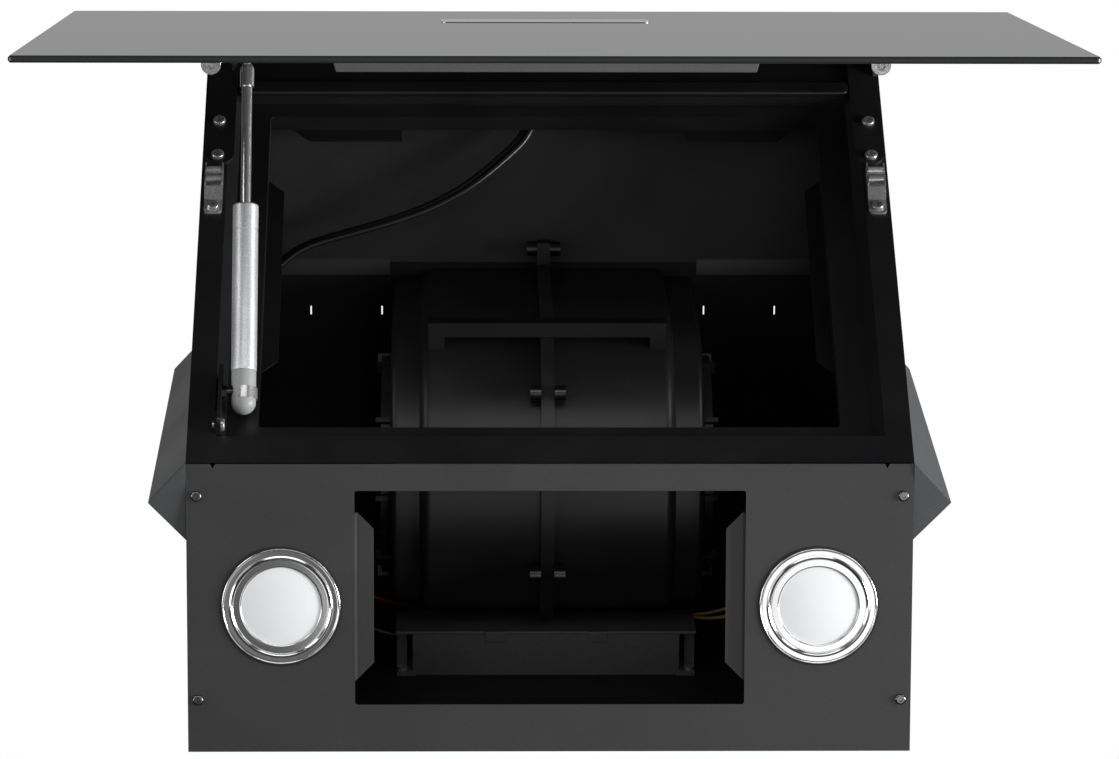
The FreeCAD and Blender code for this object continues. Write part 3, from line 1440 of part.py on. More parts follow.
save("back_panel", back_panel())
save("right_side_panel", side_panel())
save("left_side_panel", mirrored(side_panel()))
save("right_wing_cover", wing())
save("left_wing_cover", mirrored(wing()))
save("rear_roof", rear_roof())
save("sloped_roof", sloped_roof())
save("front_frame", front_frame())
save("frame_rib", frame_rib())
save("lamp_plate", lamp_plate())
save("lamp_plate_screws", lamp_plate_screws())
save("corner_brackets", corner_brackets())
save("left_lamp_ring", lamp_ring(-lamp_x))
save("right_lamp_ring", lamp_ring(lamp_x))
save("left_lamp_lens", lamp_lens(-lamp_x))
save("right_lamp_lens", lamp_lens(lamp_x))
save("lamp_housings", lamp_housings())
save("right_hinge_arm", hinge_arm())
save("left_hinge_arm", mirrored(hinge_arm()))
save("pan_screws", pan_screws())
save("hinge_leaves", Part.makeCompound([mirrored(hinge_leaf()), hinge_leaf()]))
save("hinge_pins", Part.makeCompound([mirrored(hinge_pin()), hinge_pin()]))
save("glass_panel", glass_panel())
save("control_housing", control_housing())
save("control_board", control_board())
save("control_window", control_window())
save("catch_strikers", catch_strikers())
save("striker_screws", striker_screws())
save("right_catch_body", catch_body())
save("left_catch_body", mirrored(catch_body()))
save("right_upper_roller", catch_roller(1))
save("right_lower_roller", catch_roller(-1))
save("left_upper_roller", mirrored(catch_roller(1)))
save("left_lower_roller", mirrored(catch_roller(-1)))
save("strut_foot_bracket", strut_foot_bracket())
save("strut_foot_ball", strut_foot_ball())
save("strut_cylinder", strut_cylinder())
save("strut_socket", strut_socket())
save("strut_clip", strut_clip())
save("strut_rod", strut_rod())
save("strut_eye", strut_eye())
save("strut_top_bracket", strut_top_bracket())
save("right_blower_shell", blower_half_shell())
save("left_blower_shell", mirrored(blower_half_shell()))
save("blower_flange_screws", blower_flange_screws())
save("blower_bar", blower_bar())
save("right_inlet_ring", inlet_ring())
save("left_inlet_ring", mirrored(inlet_ring()))
save("fan", fan())
save("motor", motor())
save("outlet_collar", outlet_collar())
save("front_outlet_flap", outlet_flap(-1))
save("back_outlet_flap", outlet_flap(1))
save("electronics_box", electronics_box())
save("electronics_lid", electronics_lid())
save("electronics_screws", electronics_screws())
save("red_wire", wire_along(red_route, wire_r))
save("pale_wires", Part.makeCompound([wire_along(yellow_route, wire_r),
                                      wire_along(white_route, wire_r)]))
save("control_leads", control_leads())

rest_angle, rest_length, closed_angle, closed_length = strut_geometry()
print("strut turns", round(closed_angle - rest_angle, 3))
print("strut shortens", round(rest_length - closed_length, 3))
for label, point in (("hinge", on_face(0, hinge_t, hinge_n)),
                     ("strut foot", on_face(strut_x, strut_foot_t, strut_foot_n))):
    print(label, round(point.x, 3), round(point.y, 3), round(point.z - fixing_height, 3))
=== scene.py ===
import json
import math

import bpy
from mathutils import Matrix, Vector

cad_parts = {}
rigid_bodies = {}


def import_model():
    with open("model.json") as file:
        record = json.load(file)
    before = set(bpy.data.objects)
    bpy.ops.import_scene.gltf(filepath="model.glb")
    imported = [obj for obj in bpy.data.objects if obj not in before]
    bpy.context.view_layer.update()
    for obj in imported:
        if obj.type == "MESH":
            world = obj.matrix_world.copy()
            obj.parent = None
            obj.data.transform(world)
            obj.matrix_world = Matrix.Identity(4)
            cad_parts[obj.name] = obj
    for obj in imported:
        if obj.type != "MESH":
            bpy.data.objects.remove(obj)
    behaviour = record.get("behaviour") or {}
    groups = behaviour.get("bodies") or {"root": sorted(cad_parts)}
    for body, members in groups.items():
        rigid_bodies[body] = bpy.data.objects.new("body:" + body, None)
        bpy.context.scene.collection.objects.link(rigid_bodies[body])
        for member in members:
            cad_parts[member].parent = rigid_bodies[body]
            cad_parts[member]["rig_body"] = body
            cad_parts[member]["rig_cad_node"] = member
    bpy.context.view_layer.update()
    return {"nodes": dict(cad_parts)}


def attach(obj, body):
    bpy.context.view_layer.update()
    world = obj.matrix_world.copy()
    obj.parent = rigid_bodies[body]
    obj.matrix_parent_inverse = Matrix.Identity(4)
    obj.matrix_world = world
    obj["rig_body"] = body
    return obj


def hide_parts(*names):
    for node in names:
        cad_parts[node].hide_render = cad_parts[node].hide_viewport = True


# Metres, in the hood's own frame: X across, +Y into the wall, +Z up, the wall fixings' middle at zero.
mm = 0.001

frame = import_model()
nodes = frame["nodes"]

# Places and sizes that the looks share with the hood's solids
fixing_height = 150 * mm
seam_forward = 170 * mm
seam_high = 20 * mm
seam = Vector((0, -seam_forward, seam_high - fixing_height))
lean = math.radians(28)
plate_tilt = math.atan2(seam_high, seam_forward)
open_angle = math.radians(37.2)
across = Vector((1, 0, 0))
face_up = Vector((0, -math.sin(lean), math.cos(lean)))
face_out = Vector((0, -math.cos(lean), -math.sin(lean)))
plate_up = Vector((0, math.sin(plate_tilt), math.cos(plate_tilt)))

# How solids are merged, and which turns of a surface count as an edge
weld_distance = 0.01 * mm
flat_turn = math.radians(0.5)
edge_turn = math.radians(32)
turned_edge_turn = math.radians(50)
ease_segments = 2


# Small tools for modelling
def deselect():
    bpy.ops.object.select_all(action="DESELECT")


def alone(piece):
    """Makes one piece the only selected and active one."""
    deselect()
    piece.select_set(True)
    bpy.context.view_layer.objects.active = piece


def settle(piece, name):
    """Puts a piece's place into its mesh and gives it its name."""
    alone(piece)
    bpy.ops.object.transform_apply(location=True, rotation=True, scale=True)
    piece.name = name
    piece.data.name = name
    return piece


def finish_modifiers(piece):
    alone(piece)
    for modifier in list(piece.modifiers):
        bpy.ops.object.modifier_apply(modifier=modifier.name)


def rounded(piece, width):
    """Rounds the edges of a piece, and shades the rest smooth."""
    bevel = piece.modifiers.new("edge", "BEVEL")
    bevel.width = width
    bevel.segments = ease_segments
    bevel.limit_method = "ANGLE"
    bevel.angle_limit = edge_turn
    bevel.use_clamp_overlap = True
    finish_modifiers(piece)
    even_shade(piece, edge_turn)


def even_shade(piece, angle):
    """Shades round forms smooth and keeps each broad face flat up to its eased edge."""
    alone(piece)
    bpy.ops.object.shade_smooth_by_angle(angle=angle)
    weighted = piece.modifiers.new("broad_faces", "WEIGHTED_NORMAL")
    weighted.keep_sharp = True
    weighted.mode = "FACE_AREA_WITH_ANGLE"
    finish_modifiers(piece)


def finished_copy(node, edge):
    """A merged copy of a solid with its edges eased by a width, which stands for the solid."""
    source = nodes[node]
    copy = source.copy()
    copy.data = source.data.copy()
    bpy.context.scene.collection.objects.link(copy)
    body = source["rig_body"]
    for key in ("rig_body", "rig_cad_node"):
        del copy[key]
    copy.parent = None
    copy.name = node + "_finished"
    alone(copy)
    bpy.ops.object.mode_set(mode="EDIT")
    bpy.ops.mesh.select_all(action="SELECT")
    bpy.ops.mesh.remove_doubles(threshold=weld_distance)
    if edge:
        bpy.ops.mesh.dissolve_limited(angle_limit=flat_turn)
    bpy.ops.object.mode_set(mode="OBJECT")
    bpy.ops.mesh.customdata_custom_splitnormals_clear()
    if edge:
        rounded(copy, edge)
    else:
        even_shade(copy, edge_turn)
    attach(copy, body)
    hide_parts(node)
    return copy


# Camera, from the lines of the body in the picture; pixels count from the picture's middle
picture_width = 1119
focal_pixels = 4861
seam_pixels_right = -9.0
seam_pixels_up = -83.0
sensor = 36.0
look_up = math.radians(73.4)
look_aside = math.radians(1.18)
seam_distance = 2800 * mm
seam_right = seam_pixels_right / focal_pixels * seam_distance
seam_up = seam_pixels_up / focal_pixels * seam_distance
nearest_seen = 10 * mm
farthest_seen = 100

level_forward = Vector((0, math.cos(look_up), math.sin(look_up)))
camera_up = Vector((0, -math.sin(look_up), math.cos(look_up)))
camera_right = across * math.cos(look_aside) - level_forward * math.sin(look_aside)
camera_forward = across * math.sin(look_aside) + level_forward * math.cos(look_aside)
camera_place = seam - camera_right * seam_right - camera_up * seam_up - camera_forward * seam_distance
camera_data = bpy.data.cameras.new("camera")
camera_data.sensor_width = sensor
camera_data.lens = focal_pixels / picture_width * sensor
camera_data.clip_start = nearest_seen
camera_data.clip_end = farthest_seen
camera = bpy.data.objects.new("camera", camera_data)
bpy.context.scene.collection.objects.link(camera)
turn = Matrix((camera_right, camera_up, -camera_forward)).transposed().to_4x4()
camera.matrix_world = Matrix.Translation(camera_place) @ turn
bpy.context.scene.camera = camera
bpy.context.scene.view_settings.view_transform = "Standard"


# Fine structure of the finishes: how dense, how high, and the part of each noise that is used
clouds_per_metre = 14.0
rings_per_metre = 3500.0
grain_high = 0.1 * mm
line_high = 0.05 * mm
mottle_range = (0.15, 0.4)
noise_range = (0.3, 0.7)


# Node groups that several finishes share
def surface_group(name, extra):
    """An empty group with the sockets of every finish, and one more input of its own."""
    group = bpy.data.node_groups.new(name, "ShaderNodeTree")
    sockets = group.interface
    sockets.new_socket(name="Light", in_out="INPUT", socket_type="NodeSocketColor")
    sockets.new_socket(name="Dark", in_out="INPUT", socket_type="NodeSocketColor")
    for value in ("Rough low", "Rough high", "Depth"):
        sockets.new_socket(name=value, in_out="INPUT", socket_type="NodeSocketFloat")
    sockets.new_socket(name=extra[0], in_out="INPUT", socket_type=extra[1])
    sockets.new_socket(name="Colour", in_out="OUTPUT", socket_type="NodeSocketColor")
    sockets.new_socket(name="Roughness", in_out="OUTPUT", socket_type="NodeSocketFloat")
    sockets.new_socket(name="Normal", in_out="OUTPUT", socket_type="NodeSocketVector")
    return group, group.nodes.new("NodeGroupInput")


def noise(group, detail, roughness):
    made = group.nodes.new("ShaderNodeTexNoise")
    made.inputs["Detail"].default_value = detail
    made.inputs["Roughness"].default_value = roughness
    return made


def spread(group, value, limits):
    """Stretches what lies between two limits over 0 to 1."""
    made = group.nodes.new("ShaderNodeMapRange")
    made.inputs["From Min"].default_value = limits[0]
    made.inputs["From Max"].default_value = limits[1]
    group.links.new(value, made.inputs["Value"])
    return made.outputs["Result"]


def put_out(group, inside, shade, rough, height, bump_high):
    """Turns a shade, a roughness share and a height into the group's three outputs."""
    link = group.links.new
    outside = group.nodes.new("NodeGroupOutput")
    mix = group.nodes.new("ShaderNodeMix")
    mix.data_type = "RGBA"
    link(shade, mix.inputs["Factor"])
    link(inside.outputs["Dark"], mix.inputs["A"])
    link(inside.outputs["Light"], mix.inputs["B"])
    link(mix.outputs["Result"], outside.inputs["Colour"])
    between = group.nodes.new("ShaderNodeMapRange")
    link(rough, between.inputs["Value"])
    link(inside.outputs["Rough low"], between.inputs["To Min"])
    link(inside.outputs["Rough high"], between.inputs["To Max"])
    link(between.outputs["Result"], outside.inputs["Roughness"])
    bump = group.nodes.new("ShaderNodeBump")
    bump.inputs["Distance"].default_value = bump_high
    link(height, bump.inputs["Height"])
    link(inside.outputs["Depth"], bump.inputs["Strength"])
    link(bump.outputs["Normal"], outside.inputs["Normal"])


def grain_group():
    """Fine coat texture: a mottled shade and roughness from a cloudy noise, a bump from a fine one."""
    group, inside = surface_group("CoatGrain", ("Grain scale", "NodeSocketFloat"))
    place = group.nodes.new("ShaderNodeTexCoord")
    grain = noise(group, detail=3.0, roughness=0.5)
    cloud = noise(group, detail=4.0, roughness=0.6)
    cloud.inputs["Scale"].default_value = clouds_per_metre
    for texture in (grain, cloud):
        group.links.new(place.outputs["Object"], texture.inputs["Vector"])
    group.links.new(inside.outputs["Grain scale"], grain.inputs["Scale"])
    both = group.nodes.new("ShaderNodeMath")
    both.operation = "MULTIPLY"
    group.links.new(grain.outputs["Fac"], both.inputs[0])
    group.links.new(cloud.outputs["Fac"], both.inputs[1])
    shade = spread(group, both.outputs["Value"], mottle_range)
    rough = spread(group, cloud.outputs["Fac"], noise_range)
    put_out(group, inside, shade, rough, grain.outputs["Fac"], grain_high)
    return group


def brush_group():
    """Fine brushed lines: noise over coordinates that the material stretches along the lines."""
    group, inside = surface_group("BrushedLines", ("Vector", "NodeSocketVector"))
    lines = noise(group, detail=5.0, roughness=0.7)
    lines.inputs["Scale"].default_value = 1.0
    group.links.new(inside.outputs["Vector"], lines.inputs["Vector"])
    shade = spread(group, lines.outputs["Fac"], noise_range)
    put_out(group, inside, shade, shade, lines.outputs["Fac"], line_high)
    return group


coat_grain = grain_group()
brushed_lines = brush_group()


def blank(name):
    """A material with its shader, its output and nothing else."""
    material = bpy.data.materials.new(name)
    material.use_nodes = True
    return material, material.node_tree, material.node_tree.nodes["Principled BSDF"]


def add_surface(tree, shader, surface, light, dark, rough, depth):
    """Places a shared group in a material with its own values and joins it to the shader."""
    group = tree.nodes.new("ShaderNodeGroup")
    group.node_tree = surface
    group.inputs["Light"].default_value = (*light, 1)
    group.inputs["Dark"].default_value = (*dark, 1)
    group.inputs["Rough low"].default_value = rough[0]
    group.inputs["Rough high"].default_value = rough[1]
    group.inputs["Depth"].default_value = depth
    tree.links.new(group.outputs["Colour"], shader.inputs["Base Color"])
    tree.links.new(group.outputs["Roughness"], shader.inputs["Roughness"])
    tree.links.new(group.outputs["Normal"], shader.inputs["Normal"])
    return group


def coated(name, light, dark, rough, grain=900.0, depth=0.2, metal=0.0, specular=0.5):
    """Paint, powder coat, plated metal or moulded plastic with a fine grain."""
    material, tree, shader = blank(name)
    group = add_surface(tree, shader, coat_grain, light, dark, rough, depth)
    group.inputs["Grain scale"].default_value = grain
    shader.inputs["Metallic"].default_value = metal
    shader.inputs["Specular IOR Level"].default_value = specular
    return material


def brushed(name, light, dark, rough, stretch, depth, metal):
    """Metal brushed along one axis; stretch holds the lines' scale on each axis."""
    material, tree, shader = blank(name)
    place = tree.nodes.new("ShaderNodeTexCoord")
    mapping = tree.nodes.new("ShaderNodeMapping")
    mapping.inputs["Scale"].default_value = stretch
    tree.links.new(place.outputs["Object"], mapping.inputs["Vector"])
    group = add_surface(tree, shader, brushed_lines, light, dark, rough, depth)
    tree.links.new(mapping.outputs["Vector"], group.inputs["Vector"])
    shader.inputs["Metallic"].default_value = metal
    return material


def turned_metal(name, centre, tip, light, dark, rough, depth):
    """Metal brushed in rings about an axis that is tipped from upright about X."""
    material, tree, shader = blank(name)
    link = tree.links.new
    place = tree.nodes.new("ShaderNodeTexCoord")
    mapping = tree.nodes.new("ShaderNodeMapping")
    mapping.vector_type = "TEXTURE"
    mapping.inputs["Location"].default_value = centre
    mapping.inputs["Rotation"].default_value = (tip, 0, 0)
    link(place.outputs["Object"], mapping.inputs["Vector"])
    parts = tree.nodes.new("ShaderNodeSeparateXYZ")
    link(mapping.outputs["Vector"], parts.inputs["Vector"])
    flat = tree.nodes.new("ShaderNodeCombineXYZ")
    link(parts.outputs["X"], flat.inputs["X"])
    link(parts.outputs["Y"], flat.inputs["Y"])
    radius = tree.nodes.new("ShaderNodeVectorMath")
    radius.operation = "LENGTH"
    link(flat.outputs["Vector"], radius.inputs[0])
    ring_count = tree.nodes.new("ShaderNodeMath")
    ring_count.operation = "MULTIPLY"
    ring_count.inputs[1].default_value = rings_per_metre
    link(radius.outputs["Value"], ring_count.inputs[0])
    angle = tree.nodes.new("ShaderNodeMath")
    angle.operation = "ARCTAN2"
    link(parts.outputs["Y"], angle.inputs[0])
    link(parts.outputs["X"], angle.inputs[1])
    rings = tree.nodes.new("ShaderNodeCombineXYZ")
    link(ring_count.outputs["Value"], rings.inputs["X"])
    link(angle.outputs["Value"], rings.inputs["Y"])
    group = add_surface(tree, shader, brushed_lines, light, dark, rough, depth)
    link(rings.outputs["Vector"], group.inputs["Vector"])
    shader.inputs["Metallic"].default_value = 1.0
    return material


# Finishes: a light and a dark shade, the least and greatest roughness, and what else the finish needs
rod_lines = (1900, 12, 12)
# Painted shade: the inside panels and the flat rear roof wear the sloped roof's black paint, set about three
# times darker and less glossy because they lie deeper in shade
shaded_inner_black = coated("shaded_inner_black", (0.010, 0.010, 0.011), (0.006, 0.006, 0.007), (0.5, 0.6), specular=0.25)
roof_black = coated("roof_black", (0.032, 0.032, 0.033), (0.022, 0.022, 0.023), (0.38, 0.48))
frame_black = coated("frame_black", (0.010, 0.010, 0.011), (0.006, 0.006, 0.007), (0.34, 0.44))
plate_black = coated("plate_black", (0.040, 0.040, 0.041), (0.030, 0.030, 0.031), (0.38, 0.46))
wing_grey = coated("wing_grey", (0.075, 0.077, 0.08), (0.06, 0.062, 0.064), (0.4, 0.5))
arm_black = coated("arm_black", (0.012, 0.012, 0.013), (0.008, 0.008, 0.009), (0.3, 0.42))
screw_dark = coated("screw_dark", (0.26, 0.26, 0.27), (0.16, 0.16, 0.17), (0.18, 0.3), grain=2500.0,
                    metal=1.0)
screw_steel = coated("screw_steel", (0.55, 0.55, 0.56), (0.35, 0.35, 0.36), (0.16, 0.28), grain=1400.0,
                     metal=0.75)
can_metal = coated("can_metal", (0.55, 0.55, 0.56), (0.45, 0.45, 0.46), (0.3, 0.45), metal=1.0)
black_glass = coated("black_glass", (0.034, 0.036, 0.037), (0.030, 0.032, 0.033), (0.03, 0.05), depth=0.0)
window_grey = coated("window_grey", (0.97, 0.97, 0.97), (0.94, 0.94, 0.94), (0.1, 0.14), depth=0.0, metal=1.0)
housing_grey = coated("housing_grey", (0.12, 0.12, 0.12), (0.10, 0.10, 0.10), (0.45, 0.55), depth=0.35)
board_green = coated("board_green", (0.03, 0.12, 0.06), (0.02, 0.09, 0.04), (0.4, 0.5))
catch_zinc = coated("catch_zinc", (0.82, 0.82, 0.82), (0.4, 0.4, 0.4), (0.14, 0.3), grain=800.0,
                    depth=0.9, metal=0.7)
strut_silver = coated("strut_silver", (0.92, 0.93, 0.94), (0.58, 0.59, 0.60), (0.34, 0.46), grain=1300.0,
                      depth=0.6, metal=0.6)
rod_chrome = brushed("rod_chrome", (0.95, 0.95, 0.95), (0.4, 0.4, 0.4), (0.1, 0.3), rod_lines, depth=0.7,
                     metal=0.85)
socket_grey = coated("socket_grey", (0.36, 0.37, 0.37), (0.32, 0.33, 0.33), (0.4, 0.5), depth=0.3)
blower_black = coated("blower_black", (0.014, 0.014, 0.014), (0.009, 0.009, 0.009), (0.34, 0.44), depth=0.1)
bar_black = coated("bar_black", (0.006, 0.006, 0.006), (0.004, 0.004, 0.004), (0.5, 0.6), specular=0.2)
lid_black = coated("lid_black", (0.10, 0.10, 0.10), (0.07, 0.07, 0.07), (0.4, 0.5), depth=0.1)
boss_steel = coated("boss_steel", (0.10, 0.10, 0.10), (0.07, 0.07, 0.07), (0.25, 0.35), metal=1.0)
fan_black = coated("fan_black", (0.02, 0.02, 0.02), (0.014, 0.014, 0.014), (0.4, 0.5))
motor_steel = coated("motor_steel", (0.4, 0.4, 0.4), (0.3, 0.3, 0.3), (0.35, 0.5), metal=1.0)
duct_black = coated("duct_black", (0.03, 0.03, 0.03), (0.022, 0.022, 0.022), (0.45, 0.55), depth=0.3)
wire_red = coated("wire_red", (0.25, 0.008, 0.008), (0.2, 0.006, 0.006), (0.35, 0.45), depth=0.05)
wire_pale = coated("wire_pale", (0.75, 0.6, 0.25), (0.65, 0.5, 0.2), (0.35, 0.45), depth=0.05)
lead_black = coated("lead_black", (0.016, 0.016, 0.016), (0.01, 0.01, 0.01), (0.3, 0.4), depth=0.1)
# Painted shadow: the near-black finish of the rings that draw the shadow gap round each lamp's rim
shadow_ring_black = coated("shadow_ring_black", (0.012, 0.012, 0.012), (0.006, 0.006, 0.006), (0.5, 0.6))
lens_white = coated("lens_white", (0.89, 0.91, 0.92), (0.87, 0.89, 0.90), (0.25, 0.35), depth=0.2)

# Middles of the two lamps on the lower plate, and the metal brushed in rings about each
lamp_along = 86.5 * mm
lamp_x = 155.6 * mm
lamp_centre_y = -lamp_along * math.cos(plate_tilt)
lamp_centre_z = lamp_along * math.sin(plate_tilt) - fixing_height
lamp_centres = {
    "left": Vector((-lamp_x, lamp_centre_y, lamp_centre_z)),
    "right": Vector((lamp_x, lamp_centre_y, lamp_centre_z)),
}
lamp_metals = {}
for side, centre in lamp_centres.items():
    lamp_metals[side] = turned_metal("lamp_metal_" + side, centre, -plate_tilt, (0.9, 0.9, 0.89),
                                     (0.75, 0.75, 0.75), (0.12, 0.18), depth=0.1)

# Solids that wear each finish
finishes = {
    # Painted shade: the darker copy of the roof's black goes on the panels deeper inside
    shaded_inner_black: ("back_panel", "right_side_panel", "left_side_panel", "rear_roof", "corner_brackets"),
    roof_black: ("sloped_roof",),
    frame_black: ("front_frame", "frame_rib"),
    plate_black: ("lamp_plate",),
    wing_grey: ("right_wing_cover", "left_wing_cover"),
    arm_black: ("right_hinge_arm", "left_hinge_arm", "hinge_leaves", "strut_foot_bracket",
                "strut_top_bracket"),
    screw_dark: ("lamp_plate_screws",),
    screw_steel: ("pan_screws", "hinge_pins", "striker_screws", "electronics_screws"),
    can_metal: ("lamp_housings",),
    black_glass: ("glass_panel",),
    window_grey: ("control_window",),
    housing_grey: ("control_housing",),
    board_green: ("control_board",),
    catch_zinc: ("catch_strikers", "right_catch_body", "left_catch_body", "right_upper_roller",
                 "right_lower_roller", "left_upper_roller", "left_lower_roller", "strut_clip"),
    rod_chrome: ("strut_rod", "strut_eye"),
    socket_grey: ("strut_socket",),
    blower_black: ("right_blower_shell", "left_blower_shell", "right_inlet_ring", "left_inlet_ring"),
    bar_black: ("blower_bar",),
    lid_black: ("electronics_box", "electronics_lid"),
    boss_steel: ("blower_flange_screws", "strut_foot_ball"),
    fan_black: ("fan",),
    motor_steel: ("motor",),
    duct_black: ("outlet_collar", "front_outlet_flap", "back_outlet_flap"),
    wire_red: ("red_wire",),
    wire_pale: ("pale_wires",),
    lead_black: ("control_leads",),
    lens_white: ("left_lamp_lens", "right_lamp_lens"),
}

# How far each folded or moulded piece has its edges eased
eased = {
    "front_frame": 0.5 * mm, "frame_rib": 0.4 * mm, "lamp_plate": 0.4 * mm, "right_wing_cover": 0.4 * mm,
    "left_wing_cover": 0.4 * mm, "right_hinge_arm": 0.4 * mm, "left_hinge_arm": 0.4 * mm,
    "hinge_leaves": 0.3 * mm, "strut_foot_bracket": 0.3 * mm, "strut_top_bracket": 0.3 * mm,
    "control_housing": 0.8 * mm, "catch_strikers": 0.3 * mm, "right_catch_body": 0.2 * mm,
    "left_catch_body": 0.2 * mm, "electronics_box": 0.4 * mm, "electronics_lid": 0.5 * mm,
    "blower_bar": 0.3 * mm,
}


def dress(material, names):
    """Makes the finished copies of the named solids, all in one finish."""
    for name in names:
        piece = finished_copy(name, eased.get(name, 0))
        piece.data.materials.clear()
        piece.data.materials.append(material)


for material, names in finishes.items():
    dress(material, names)

# Painted shadow: black rings round the rims of the two lamps, which draw the dark shadow gap under each rim
shadow_ring_outer = 35.3 * mm
shadow_ring_width = 1.7 * mm
shadow_ring_high = 0.8 * mm
shadow_ring_segments = 128
shadow_ring_round = 0.15 * mm
upright_share = 0.9


def upper_and_lower(piece):
    """Selects the faces whose direction is nearly all up or down the piece's own axis."""
    bpy.ops.object.mode_set(mode="OBJECT")
    for face in piece.data.polygons:
        face.select = abs(face.normal.z) > upright_share
    bpy.ops.object.mode_set(mode="EDIT")


def lamp_shadow_ring(side, centre):
    """A flat black ring on the lower plate, opened through from a disc, that paints the shadow gap round a
    lamp's rim.
    """
    deselect()
    bpy.ops.mesh.primitive_cylinder_add(vertices=shadow_ring_segments, radius=shadow_ring_outer, depth=shadow_ring_high)
    piece = bpy.context.object
    bpy.ops.object.mode_set(mode="EDIT")
    bpy.ops.mesh.select_mode(type="FACE")
    bpy.ops.mesh.select_all(action="DESELECT")
    upper_and_lower(piece)
    bpy.ops.mesh.inset(thickness=shadow_ring_width)
    bpy.ops.mesh.bridge_edge_loops()
    bpy.ops.mesh.select_all(action="SELECT")
    bpy.ops.mesh.normals_make_consistent(inside=False)
    bpy.ops.object.mode_set(mode="OBJECT")
    piece.rotation_euler = (-plate_tilt, 0, 0)
    piece.location = centre - shadow_ring_high / 2 * plate_up
    settle(piece, side + "_lamp_shadow_ring")
    rounded(piece, shadow_ring_round)
    piece.data.materials.append(shadow_ring_black)
    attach(piece, nodes["lamp_plate"]["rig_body"])


# Turned pieces: how many steps make a round, and how near two points are one
turned_steps = 144
point_size = 1 * mm
spun_weld_distance = 0.005 * mm


def spun(profile):
    """A profile of radius and height in millimetres, turned once round the upright axis."""
    deselect()
    bpy.ops.mesh.primitive_plane_add(size=point_size)
    piece = bpy.context.object
    bpy.ops.object.mode_set(mode="EDIT")
    bpy.ops.mesh.select_mode(type="VERT")
    bpy.ops.mesh.select_all(action="SELECT")
    bpy.ops.mesh.merge(type="CENTER")
    bpy.ops.transform.translate(value=(profile[0][0] * mm, 0, profile[0][1] * mm))
    for a, b in zip(profile, profile[1:] + profile[:1]):
        step = ((b[0] - a[0]) * mm, 0, (b[1] - a[1]) * mm)
        bpy.ops.mesh.extrude_vertices_move(TRANSFORM_OT_translate={"value": step})
    bpy.ops.mesh.select_all(action="SELECT")
    bpy.ops.mesh.spin(steps=turned_steps, angle=math.tau, center=(0, 0, 0), axis=(0, 0, 1))
    bpy.ops.mesh.select_all(action="SELECT")
    bpy.ops.mesh.remove_doubles(threshold=spun_weld_distance)
    bpy.ops.mesh.normals_make_consistent(inside=False)
    bpy.ops.object.mode_set(mode="OBJECT")
    return piece


def turned_piece(node, profile, tip, place, material):
    """A turned copy of a solid: its profile spun, tipped from upright about X and set in its place."""
    piece = spun(profile)
    piece.rotation_euler = (tip, 0, 0)
    piece.location = place
    settle(piece, node + "_turned")
    even_shade(piece, turned_edge_turn)
    piece.data.materials.append(material)
    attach(piece, nodes[node]["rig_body"])
    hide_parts(node)


# Lamp ring from its rim inwards, as radius and height in millimetres
rim_bead = [(34.3, 0.0), (34.3, 0.9), (34.1, 1.3), (33.75, 1.45), (33.4, 1.3), (33.15, 1.1)]
outer_band = [(32.8, 1.24), (32.5, 1.24), (30.3, 1.16), (30.0, 1.17)]
step_bead = [(29.6, 1.45), (29.1, 1.75), (28.7, 1.6), (28.0, 0.95), (27.65, 0.75)]
inner_band = [(27.3, 0.84), (27.0, 0.85), (24.1, 0.95), (23.8, 0.95)]
lens_edge = [(23.3, 0.8), (23.12, 0.5), (23.12, -1.0)]
ring_back = [(28.5, -1.0), (28.5, 0.0)]
ring_profile = rim_bead + outer_band + step_bead + inner_band + lens_edge + ring_back

for side, centre in lamp_centres.items():
    lamp_shadow_ring(side, centre)
    turned_piece(side + "_lamp_ring", ring_profile, math.pi - plate_tilt, centre, lamp_metals[side])

# Gas strut's cylinder, along the line from its foot ball to the eye on the open glass
hinge_along = 352.9 * mm
hinge_out = 16 * mm
foot_along = 52 * mm
foot_out = 6 * mm
eye_along = 195.1 * mm
eye_out = 14.9 * mm
strut_x = -178 * mm
arm = (eye_along - hinge_along, eye_out - hinge_out)
open_along = hinge_along + arm[0] * math.cos(open_angle) + arm[1] * math.sin(open_angle)
open_out = hinge_out - arm[0] * math.sin(open_angle) + arm[1] * math.cos(open_angle)
foot = seam + foot_along * face_up + foot_out * face_out + strut_x * across
strut_way = (open_along - foot_along) * face_up + (open_out - foot_out) * face_out
strut_lean = math.atan2(-strut_way.y, strut_way.z)

# Cylinder from its foot upwards, as radius and height in millimetres
foot_round = [(6.2, 11.7), (6.85, 11.87), (7.33, 12.35), (7.5, 13.0)]
groove = [(7.5, 96.7), (7.1, 96.85), (7.1, 97.55), (7.5, 97.7)]
rod_end_round = [(7.5, 111.9), (7.33, 112.55), (6.85, 113.03), (6.2, 113.2)]
rod_guide = [(3.3, 113.2), (3.3, 109.2), (6.2, 109.2)]
tube_profile = foot_round + groove + rod_end_round + rod_guide
turned_piece("strut_cylinder", tube_profile, strut_lean, foot, strut_silver)

# Stage: a grey floor far below the hood
floor_drop = 3.1
floor_size = 30
floor_colour = (0.16, 0.16, 0.16, 1)
floor_rough = 0.7
floor_grey, _, floor_shader = blank("floor_grey")
floor_shader.inputs["Base Color"].default_value = floor_colour
floor_shader.inputs["Roughness"].default_value = floor_rough
deselect()
bpy.ops.mesh.primitive_plane_add(size=floor_size, location=(0, 0, -floor_drop))
floor = settle(bpy.context.object, "floor")
floor.data.materials.append(floor_grey)


def soft_light(name, place, target, size, watts):
    """A rectangular light at a place, facing a target."""
    data = bpy.data.lights.new(name, "AREA")
    data.shape = "RECTANGLE"
    data.size = size[0]
    data.size_y = size[1]
    data.energy = watts
    light = bpy.data.objects.new(name, data)
    bpy.context.scene.collection.objects.link(light)
    away = place - target
    light.matrix_world = Matrix.Translation(place) @ away.to_track_quat("Z", "Y").to_matrix().to_4x4()


def to_left(place):
    """The same place on the hood's other side."""
    return Vector((-place.x, place.y, place.z))


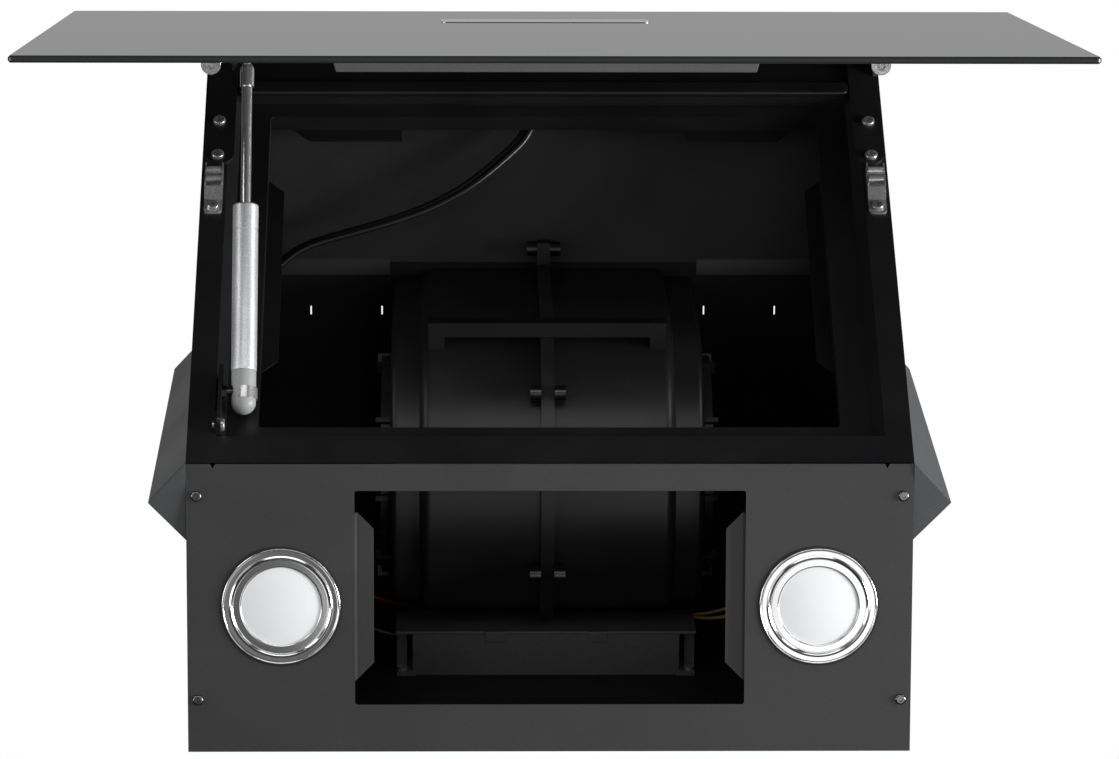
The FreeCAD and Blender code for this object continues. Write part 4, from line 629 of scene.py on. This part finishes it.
# Places and sizes of the lights in metres, and their powers in watts
hood_middle = Vector((0, -0.2, -0.05))
side_place = Vector((2.8, -0.2, -1.0))
side_size = (1.0, 1.4)
right_side_watts = 135
left_side_watts = 17
room_place = Vector((0, -2.4, -1.9))
room_size = (2.4, 1.4)
room_watts = 17
corner_place = Vector((2.2, -2.0, -0.6))
corner_size = (1.0, 1.0)
corner_watts = 13
low_place = Vector((1.9, -0.9, -2.4))
low_size = (2.0, 2.0)
low_left_watts = 9
low_right_watts = 6
card_place = Vector((0.65, 0.14, -2.95))
card_target = Vector((0.65, 0.1, 0))
card_size = (1.2, 1.5)
card_watts = 6.8

soft_light("right_side_light", side_place, hood_middle, side_size, right_side_watts)
soft_light("left_side_light", to_left(side_place), hood_middle, side_size, left_side_watts)
soft_light("room_light", room_place, hood_middle, room_size, room_watts)
soft_light("room_left_light", to_left(corner_place), hood_middle, corner_size, corner_watts)
soft_light("room_right_light", corner_place, hood_middle, corner_size, corner_watts)
soft_light("low_left_light", to_left(low_place), hood_middle, low_size, low_left_watts)
soft_light("low_right_light", low_place, hood_middle, low_size, low_right_watts)
soft_light("right_card", card_place, card_target, card_size, card_watts)

# A white backdrop for the camera and through glass, and for all other rays a soft glow from above
sky_faint = 0.008
sky_bright = 0.4
glow_starts = 0.75
glow_full = 0.95
world = bpy.data.worlds.new("studio")
bpy.context.scene.world = world
world.use_nodes = True
tree = world.node_tree
background = tree.nodes["Background"]
background.inputs["Color"].default_value = (1, 1, 1, 1)
path = tree.nodes.new("ShaderNodeLightPath")
seen = tree.nodes.new("ShaderNodeMath")
seen.operation = "MAXIMUM"
tree.links.new(path.outputs["Is Camera Ray"], seen.inputs[0])
tree.links.new(path.outputs["Is Transmission Ray"], seen.inputs[1])
way = tree.nodes.new("ShaderNodeTexCoord")
height = tree.nodes.new("ShaderNodeSeparateXYZ")
tree.links.new(way.outputs["Generated"], height.inputs["Vector"])
glow = tree.nodes.new("ShaderNodeMapRange")
glow.inputs["From Min"].default_value = glow_starts
glow.inputs["From Max"].default_value = glow_full
glow.inputs["To Min"].default_value = sky_faint
glow.inputs["To Max"].default_value = sky_bright
tree.links.new(height.outputs["Z"], glow.inputs["Value"])
strength = tree.nodes.new("ShaderNodeMix")
strength.inputs["B"].default_value = 1.0
tree.links.new(seen.outputs["Value"], strength.inputs["Factor"])
tree.links.new(glow.outputs["Result"], strength.inputs["A"])
tree.links.new(strength.outputs["Result"], background.inputs["Strength"])
